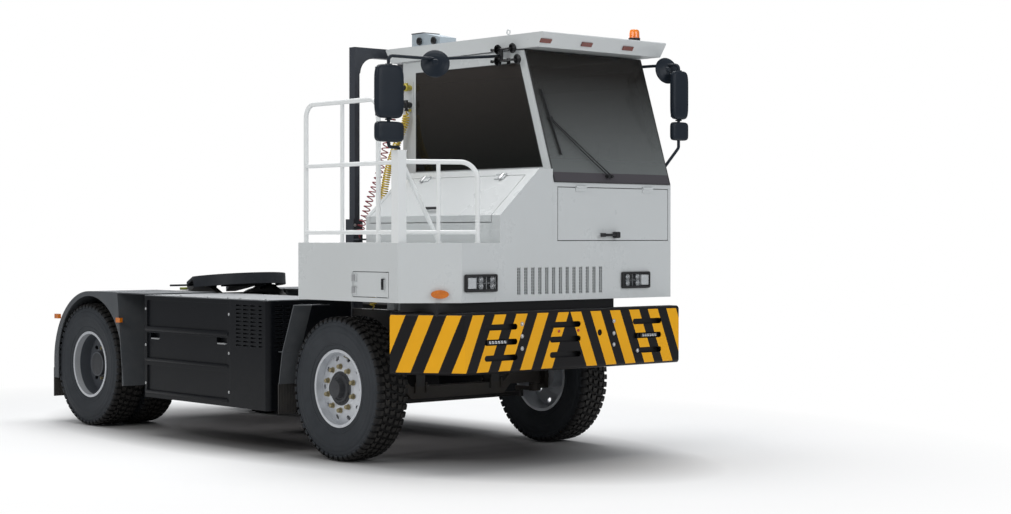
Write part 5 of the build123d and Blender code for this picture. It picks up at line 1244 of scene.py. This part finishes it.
for foot, side in (((2.072, -0.0115, 3.108), -1), ((2.315, 1.2755, 3.085), 1), ((2.575, 1.2755, 2.240), 1)):
    plate = spun("arm_foot", [(0.0, 0.0), (0.0, 0.026), (0.006, 0.026), (0.014, 0.019), (0.014, 0.0)], 24)
    turn = outward(side)
    mirror_parts.append(repeated("arm_foot", plate, [Matrix.Translation(Vector(foot)) @ turn]))
for centre, across, low in (
    (2.365, -1.335, 2.545), (2.677, 1.370, 2.633), (2.365, -1.335, 2.940), (2.677, 1.370, 3.028),
):
    mirror_parts.append(slab("arm_clamp", (centre - 0.019, across - 0.022, low),
                             (centre + 0.019, across + 0.022, low + 0.012), 0.004, 1))
fitted(joined("mirror_housings", mirror_parts), housing_plastic.material, "chassis", "dark_plastic", "mirrors")
fitted(joined("mirror_panes", mirror_glass), silver_glass, "chassis", "lamp_clear")

# Horns: four trumpets in two pairs under the roof's edge on one bracket, glossy black.
horn_gloss = mottled("horn_gloss", (30.0, 3.0), (0.006, 0.006, 0.007), (0.014, 0.014, 0.015),
                     (0.15, 0.14), Coat_Weight=0.3)
bell_line = [
    (-0.052, 0.0), (-0.052, 0.0095), (-0.034, 0.0125), (-0.019, 0.019), (-0.008, 0.028), (-0.002, 0.037), (0.0, 0.040),
    (0.0025, 0.0385), (-0.005, 0.0285), (-0.016, 0.0185), (-0.031, 0.010), (-0.031, 0.0),
]
trumpets = []
for height, mouths in ((3.062, (2.135, 2.360)), (3.150, (2.135, 2.305))):
    places = [
        Matrix.Translation((mouth, -0.086, height)) @ to_front for mouth in mouths
    ]
    trumpets.append(repeated("bells", spun("bell", bell_line, 32), places))
    trumpets.append(pipe("horn_tube", [(2.062, -0.086, height), (mouths[1] - 0.045, -0.086, height)], 0.0095, 16))
    trumpets.append(slab("horn_driver", (2.058, -0.098, height - 0.012), (2.076, -0.074, height + 0.012), 0.006, 3))
trumpets += [
    slab("horn_post", (2.168, -0.096, 3.054), (2.192, -0.078, 3.158), 0.003, 1),
    slab("horn_arm", (2.168, -0.090, 3.054), (2.192, -0.0115, 3.070), 0.003, 1),
    slab("horn_foot", (2.160, -0.0165, 3.038), (2.200, -0.0113, 3.086), 0.002, 1),
]
fitted(joined("horn_set", trumpets), horn_gloss, "chassis", "horn_black", "horns")

# Roof unit and beacon: an aluminium housing with a dark lid and two round lamps, and an amber
# flashing beacon on a black foot with a ring.
unit_metal = Paint("unit_metal")
unit_brush = unit_metal.noise(30.0, 4.0, 0.6, stretch=(1.0, 8.0, 1.0))
unit_metal.finish(
    Base_Color=unit_metal.mix(unit_brush, (0.50, 0.56, 0.60), (0.36, 0.42, 0.47)),
    Metallic=0.35,
    Roughness=unit_brush * 0.2 + 0.35,
)
dress(unit_metal.material, "roof_unit")
unit_trim = [slab("unit_lid", (0.915, 0.036, 3.3715), (1.072, 0.214, 3.3795), 0.003, 2)]
ring_line = [(0.0, 0.0), (0.0, 0.032), (0.010, 0.031), (0.012, 0.028), (0.010, 0.024), (0.003, 0.020), (0.001, 0.0)]
unit_trim.append(repeated("unit_rings", spun("lamp_ring", ring_line, 36), [
    Matrix.Translation((along, 0.032, height)) @ to_right
    for along, height in ((1.030, 3.308), (1.215, 3.300))
]))
fitted(joined("unit_trim", unit_trim), lamp_black, "chassis", "dark_plastic")
beacon_amber = Paint("beacon_amber")
flute_x, flute_y, flute_z = beacon_amber.axes()
flutes = ((flute_x - 2.415) * 300.0).sine() * ((flute_y - 1.130) * 300.0).sine()
# Painted light: the dome is painted brighter towards its top, where the light from above falls.
beacon_painted_top_light = ((flute_z - 3.30) / 0.07).clamped(0.0, 1.0)
beacon_amber.finish(
    Base_Color=beacon_amber.mix(beacon_painted_top_light, (0.85, 0.17, 0.010), (0.95, 0.26, 0.020)),
    Roughness=0.12,
    Coat_Weight=0.6,
    Normal=beacon_amber.bump(flutes, 0.002, 0.4),
)
dome = spun("beacon_dome", [(0.0, 0.0), (0.0, 0.0425), (0.052, 0.0405), (0.064, 0.036), (0.070, 0.026), (0.0720, 0.0)],
            40)
upright_turn = Matrix.Rotation(math.pi / 2, 4, "X")
dome = repeated("beacon_lens", dome, [Matrix.Translation((2.415, 1.130, 3.300)) @ upright_turn])
fitted(dome, beacon_amber.material, "chassis", "beacon_orange", "beacon")
foot = spun("beacon_foot", [(0.0, 0.0), (0.0, 0.054), (0.006, 0.054), (0.010, 0.049), (0.034, 0.047), (0.036, 0.0485),
                            (0.0405, 0.0485), (0.0405, 0.0)], 40)
foot = repeated("beacon_base", foot, [Matrix.Translation((2.415, 1.130, 3.260)) @ upright_turn])
fitted(foot, lamp_black, "chassis", "horn_black", "beacon")

# Wiper: a double-armed wiper parked upright on the windscreen's right half, with a steel-backed
# blade and swivel caps.
wiper_parts = []


def on_screen(across, height, stand):
    return (screen_line(height) + stand, across, height)


wiper_foot = 2.172
for offset in (0.0, 0.036):
    wiper_parts.append(pipe("wiper_arm", [
        on_screen(0.602 - offset, wiper_foot, 0.034), on_screen(0.375 - offset, 2.362, 0.036),
        on_screen(0.084 + 0.010 - offset / 2, 2.606, 0.031),
    ], 0.0046, 8))
wiper_parts += [
    pipe("blade_back", [on_screen(0.116, 2.329, 0.030), on_screen(0.058, 2.834, 0.030)], 0.0055, 8),
    pipe("blade_lip", [on_screen(0.116, 2.329, 0.0185), on_screen(0.058, 2.834, 0.0185)], 0.0068, 4, smooth=False),
    slab("blade_joint", (screen_line(2.606) + 0.018, 0.066, 2.590), (screen_line(2.606) + 0.040, 0.104, 2.622),
         0.004, 1),
]
for across in (0.602, 0.566):
    swivel = spun("swivel", [(-0.028, 0.0), (-0.028, 0.0135), (0.006, 0.0135), (0.010, 0.009), (0.010, 0.0)], 20)
    wiper_parts.append(repeated("swivel", swivel, [
        Matrix.Translation(on_screen(across, wiper_foot, 0.036)) @ to_front
    ]))
fitted(joined("wiper_set", wiper_parts), soft_black.material, "chassis", "horn_black", "wiper")

# Guard rails: welded steel tubes and the square mirror column in brighter white enamel, with
# collars welded to the deck.
rail_enamel = enamel("rail_enamel", (0.80, 0.82, 0.82), 0.30, 0.5, coat=0.15)
dress(rail_enamel, "guard_rails")
foot_line = [(0.0, 0.0), (0.0, 0.024), (0.004, 0.0235), (0.006, 0.019), (0.006, 0.0)]
rail_feet = repeated("rail_feet", spun("rail_foot", foot_line, 24), [
    Matrix.Translation((along, across, 1.6595)) @ upright_turn for along, across in (
        (1.231, -1.250), (1.695, -1.250), (2.135, -1.250), (2.5045, -0.9855), (2.650, -0.735),
    )
])
fitted(rail_feet, rail_enamel, "chassis", "rail_white")
brace = pipe("rail_brace", [(2.359, -1.200, 2.238), (2.359, -0.856, 1.6595)], 0.016, 20)
fitted(brace, rail_enamel, "chassis", "rail_white")
column_cap = slab("column_cap", (2.317, -1.2765, 2.3275), (2.401, -1.194, 2.3325), 0.002, 1)
fitted(column_cap, rail_enamel, "chassis", "rail_white")

# Gantry: box-section posts in dark slate paint with a bolted sleeve at each foot, a cross beam and
# the parking shelf of the red air hose.
slate = enamel("slate_paint", (0.030, 0.035, 0.046), 0.34, 0.5, coat=0.1)
dress(slate, "gantry")
bolts("sleeve_bolts", 0.009, (1, 0, 0), [
    (0.6153, across, height) for across in (-0.318, -0.254, 0.254, 0.318) for height in (1.24, 1.80)
], bright_zinc, "chassis", "rim_silver")

# Parked couplings: a white bracket at the cab's corner that carries a yellow and a black air
# coupling with rubber faces, one above the other.
coupling_x = 0.975
hose_y = -0.063
upper_z = 2.925
lower_z = 2.785
coupling_yellow = mottled("coupling_yellow", (40.0, 4.0, 0.6), (0.62, 0.52, 0.06), (0.38, 0.30, 0.05),
                          (0.2, 0.35), Metallic=0.2)
plate = slab("coupling_plate", (0.944, -0.0165, 2.728), (1.006, -0.0113, 2.975), 0.002, 1)
fitted(plate, white_enamel, "chassis", "white_paint", "gladhands")
head_line = [
    (0.0, 0.0), (0.0, 0.020), (0.014, 0.024), (0.030, 0.0245), (0.042, 0.030), (0.060, 0.030), (0.066, 0.024),
    (0.066, 0.014), (0.062, 0.012), (0.062, 0.0),
]
yellow_parts = []
black_parts = []
for height, parts in ((upper_z, yellow_parts), (lower_z, black_parts)):
    head = spun("coupling_head", head_line, 28)
    parts.append(repeated("coupling_head", head, [
        Matrix.Translation((coupling_x, -0.0163, height)) @ to_right
    ]))
    parts.append(slab("coupling_claw", (0.950, -0.078, height + 0.022), (1.000, -0.062, height + 0.038), 0.004, 2))
yellow_parts.append(slab("coupling_tag", (0.958, -0.040, 2.730), (0.992, -0.020, 2.752), 0.005, 2))
fitted(joined("upper_coupling", yellow_parts), coupling_yellow, "chassis", "coupling_yellow")
plug_line = [(0.0, 0.0), (0.0, 0.017), (0.010, 0.017), (0.012, 0.012), (0.036, 0.012), (0.038, 0.017), (0.050, 0.017),
             (0.050, 0.0)]
upper_plug = repeated("upper_plug", spun("plug", plug_line, 20), [
    Matrix.Translation((coupling_x, hose_y, upper_z)) @ Matrix.Rotation(math.pi / 2, 4, "Z")
])
lower_plug = repeated("lower_plug", spun("plug", plug_line, 20), [
    Matrix.Translation((coupling_x, hose_y, lower_z)) @ Matrix.Rotation(-math.pi / 2, 4, "X")
])
cap_ring = spun("coupling_cap", [(0.0665, 0.0), (0.0665, 0.020), (0.0705, 0.019), (0.0705, 0.0)], 24)
cap_ring = repeated("coupling_cap", cap_ring, [
    Matrix.Translation((coupling_x, -0.0163, height)) @ to_right
    for height in (upper_z, lower_z)
])
fitted(joined("lower_coupling", black_parts + [upper_plug, lower_plug, cap_ring]), soft_black.material, "chassis",
       "horn_black")

# Side boxes: battery boxes of black painted sheet with pressed ledges, grips in their pockets whose light grey is a
# painted highlight, and domed bolts, the louvred cabinet, and the boarding steps with perforated treads.
box_black = Paint("box_black")
box_z = box_black.axes()[2]
box_cloud = box_black.noise(1.3, 3.0)
box_speck = box_black.noise(46.0, 4.0, 0.7)
box_peel = box_black.noise(300.0, 2.0)
box_low = ((0.95 - box_z) / 0.7).clamped(0.0, 1.0)
box_dust = ((box_speck + box_cloud * 0.5 - 0.66).clamped(0.0, 0.35) * box_low * 0.10).clamped(0.0, 0.05)
box_worn = box_black.edges(0.004) * 0.22
box_tone = box_black.mix(box_cloud, (0.0028, 0.0033, 0.0047), (0.0058, 0.0068, 0.0090))
box_rubbed = box_black.mix(box_worn, box_tone, (0.16, 0.17, 0.18))
box_black.finish(
    Base_Color=box_black.mix(box_dust, box_rubbed, (0.20, 0.19, 0.17)),
    Roughness=box_cloud * 0.10 + box_dust * 0.8 + 0.30,
    Normal=box_black.bump(box_peel, 0.0004, 0.3),
    Specular_IOR_Level=0.15,
)
dress(box_black.material, "battery_boxes", "side_cabinet", "boarding_steps")
ledges = []
pocket_grips_painted_highlight = []
for side in (-1, 1):
    near, far = sorted((side * 1.262, side * 1.281))
    for low, high in ((0.899, 0.938), (0.640, 0.668), (0.363, 0.392)):
        ledges.append(slab("ledge", (-1.100, near, low), (0.184, far, high), 0.007, 3))
    near, far = sorted((side * 1.236, side * 1.266))
    for start in (-1.041, -0.008):
        pocket_grips_painted_highlight.append(slab("pocket_grip_highlight", (start + 0.012, near, 0.828), (start + 0.138, far, 0.841), 0.005, 2))
fitted(joined("box_ledges", ledges), box_black.material, "chassis", "box_black")
# The grips' light grey is a painted highlight where their lips catch the light.
fitted(joined("pocket_grips_painted_highlight", pocket_grips_painted_highlight), hinge_grey, "chassis", "cast_grey")
bolt_spots = [(-1.094, 1.087), (-1.094, 0.777), (-1.094, 0.449), (0.195, 1.077), (0.195, 0.762), (0.195, 0.447)]
for side, name in ((-1, "right"), (1, "left")):
    bolts("box_bolts_" + name, 0.0085, (0, side, 0), [(along, side * 1.2752, height) for along, height in bolt_spots],
          bright_zinc, "chassis", "rim_silver", dome=True)
tread_grip = Paint("tread_grip")
grip_x, grip_y, _ = tread_grip.axes()
grip_dots = (grip_x * 157.0).sine() * (grip_y * 157.0).sine()
grip_wear = tread_grip.noise(5.0, 3.0)
tread_grip.finish(
    Base_Color=tread_grip.mix(grip_wear, (0.030, 0.032, 0.035), (0.085, 0.083, 0.078)),
    Roughness=grip_wear * 0.2 + 0.45,
    Normal=tread_grip.bump(grip_dots, 0.005, 0.8),
)
treads = [
    slab("tread", (0.226, 0.960, top + 0.0002), (0.733, 1.271, top + 0.004), 0.0015, 1) for top in (0.370, 0.659, 0.948)
]
fitted(joined("step_treads", treads), tread_grip.material, "chassis", "box_black")

# Top plates: grey folded sheet over the boxes, walked on and scratched.
plate_steel = Paint("plate_steel")
plate_scratch = plate_steel.noise(7.0, 5.0, 0.75, stretch=(1.0, 6.0, 1.0))
plate_cloud = plate_steel.noise(1.6, 4.0, 0.6)
plate_steel.finish(
    Base_Color=plate_steel.mix(plate_cloud, (0.155, 0.163, 0.172), (0.100, 0.106, 0.114)),
    Metallic=0.25,
    Roughness=plate_scratch * 0.25 + 0.30,
    Normal=plate_steel.bump(plate_scratch, 0.0008, 0.4),
)
dress(plate_steel.material, "top_plates")
plate_bolts = []
for side in (-1, 1):
    for along in (-1.02, -0.60, -0.18, 0.12, 0.30, 0.66):
        plate_bolts.append((along, side * 1.235, 1.2052))
bolts("plate_bolts", 0.007, (0, 0, 1), plate_bolts, bright_zinc, "chassis", "rim_silver")

# Mudguards and flaps: moulded black plastic arches, dull and dusty, and ribbed rubber flaps.
guard_plastic = Paint("guard_plastic")
guard_grain = guard_plastic.cells(380.0)
guard_dust = guard_plastic.noise(6.0, 5.0, 0.65)
guard_plastic.finish(
    Base_Color=guard_plastic.mix(guard_dust, (0.053, 0.060, 0.069), (0.105, 0.110, 0.115)),
    Roughness=guard_dust * 0.15 + 0.48,
    Specular_IOR_Level=0.3,
    Normal=guard_plastic.bump(guard_grain, 0.0006, 0.5),
)
dress(guard_plastic.material, "mudguards")
flap_rubber = Paint("flap_rubber")
flap_ribs = (flap_rubber.axes()[1] * 210.0).sine().absolute()
flap_mud = flap_rubber.noise(11.0, 5.0, 0.7)
flap_rubber.finish(
    Base_Color=flap_rubber.mix(flap_mud, (0.013, 0.013, 0.014), (0.055, 0.050, 0.044)),
    Roughness=flap_mud * 0.2 + 0.6,
    Normal=flap_rubber.bump(flap_ribs, 0.003, 0.5),
)
dress(flap_rubber.material, "mudflaps")

# Fifth wheel: a cast rocking plate in dark slate, its top smeared with grease round a bare worn
# ring, with a shallow skirt round its front, which clears the base as the plate tilts; the
# right ramp's tip is marked in greenish yellow.
pivot_x = -1.625
pivot_z = 1.262
rest_tilt = math.radians(-5)
skirt_foot = 1.243
plate_cast = Paint("fifth_wheel_cast")
cast_x, cast_y, cast_z = plate_cast.axes()
cast_ring = ((cast_x - pivot_x) * (cast_x - pivot_x) + cast_y * cast_y).power(0.5)
cast_grain = plate_cast.noise(150.0, 4.0, 0.6)
grease_cloud = plate_cast.noise(8.0, 5.0, 0.7, stretch=(1.0, 1.6, 1.0))
worn_ring = (1.0 - (cast_ring - 0.300).absolute() * 8.0 + (grease_cloud - 0.5)).clamped(0.0, 1.0) * (cast_z > 1.30)
cast_base = plate_cast.mix(grease_cloud, (0.016, 0.019, 0.025), (0.034, 0.038, 0.045))
plate_cast.finish(
    Base_Color=plate_cast.mix(worn_ring * 0.35, cast_base, (0.13, 0.13, 0.135)),
    Metallic=worn_ring * 0.3,
    Roughness=(0.70 - grease_cloud * 0.40).clamped(0.34, 0.62),
    Specular_IOR_Level=0.35,
    Normal=plate_cast.bump(cast_grain, 0.0009, 0.5),
    Coat_Weight=(grease_cloud - 0.55).clamped(0.0, 0.15),
)
dress(plate_cast.material, "fifth_wheel_plate")
skirt_turns = [math.radians(92 - index * 4) for index in range(47)]
skirt_rim = [(0.455 * math.cos(turn), 0.455 * math.sin(turn), 0.0) for turn in skirt_turns]
skirt_rim += [(0.441 * math.cos(turn), 0.441 * math.sin(turn), 0.0) for turn in reversed(skirt_turns)]
skirt = thickened(outline_face("skirt_sheet", skirt_rim), (0, 0, 0.060), bevel=0.003)
skirt = repeated("plate_skirt", skirt, [
    Matrix.Translation((pivot_x, 0, pivot_z)) @ Matrix.Rotation(rest_tilt, 4, "Y")
    @ Matrix.Translation((0, 0, skirt_foot - pivot_z))
])
fitted(skirt, plate_cast.material, "fifth_wheel_plate", "greased_steel")
tip_yellow = mottled("tip_yellow", (45.0, 4.0, 0.7), (0.36, 0.40, 0.06), (0.16, 0.18, 0.05),
                     (0.2, 0.4))
tip_pad = slab("ramp_tip", (-2.010, -0.372, 1.212), (-1.950, -0.292, 1.236), 0.006, 2)
fitted(tip_pad, tip_yellow, "fifth_wheel_plate", "coupling_yellow")

# Chassis: rails, cross members, axles, springs, motor and steering in black chassis paint with
# dried road dust, rust at the edges and bare cast iron where parts are machined.
chassis_paint = Paint("chassis_paint")
chassis_cloud = chassis_paint.noise(3.5, 5.0, 0.65)
chassis_speck = chassis_paint.noise(60.0, 4.0, 0.7)
chassis_edge = chassis_paint.edges(0.005) * chassis_speck
chassis_tone = chassis_paint.mix(chassis_cloud, (0.012, 0.012, 0.013), (0.032, 0.030, 0.028))
chassis_paint.finish(
    Base_Color=chassis_paint.mix(chassis_edge * 0.5, chassis_tone, (0.13, 0.075, 0.045)),
    Roughness=chassis_cloud * 0.25 + 0.42,
    Normal=chassis_paint.bump(chassis_speck, 0.0012, 0.5),
)
dress(chassis_paint.material, "frame_rails", "cross_members", "leaf_springs", "fifth_wheel_base", "tie_rod")
cast_iron = Paint("cast_iron")
iron_grain = cast_iron.noise(110.0, 5.0, 0.65)
iron_cloud = cast_iron.noise(5.0, 4.0, 0.6)
cast_iron.finish(
    Base_Color=cast_iron.mix(iron_cloud, (0.022, 0.022, 0.022), (0.070, 0.058, 0.046)),
    Metallic=0.3,
    Roughness=iron_cloud * 0.25 + 0.45,
    Normal=cast_iron.bump(iron_grain, 0.0016, 0.6),
)
dress(cast_iron.material, "front_axle", "rear_axle", "knuckle_right", "knuckle_left")
motor_paint = enamel("motor_paint", (0.16, 0.17, 0.18), 0.40, 0.9, coat=0.05)
dress(motor_paint, "drive_motor")
spring_bolts = []
for along, low, high in ((front_axle, 0.478, 0.560), (rear_axle, 0.628, 0.700)):
    for across in (-0.392, 0.392):
        for front in (-0.055, 0.055):
            for side in (-0.055, 0.055):
                spring_bolts.append(pipe("u_bolt", [
                    (along + front, across + side, low), (along + front, across + side, high),
                ], 0.009, 12))
fitted(joined("spring_bolts", spring_bolts), cast_iron.material, "chassis", "cast_grey")
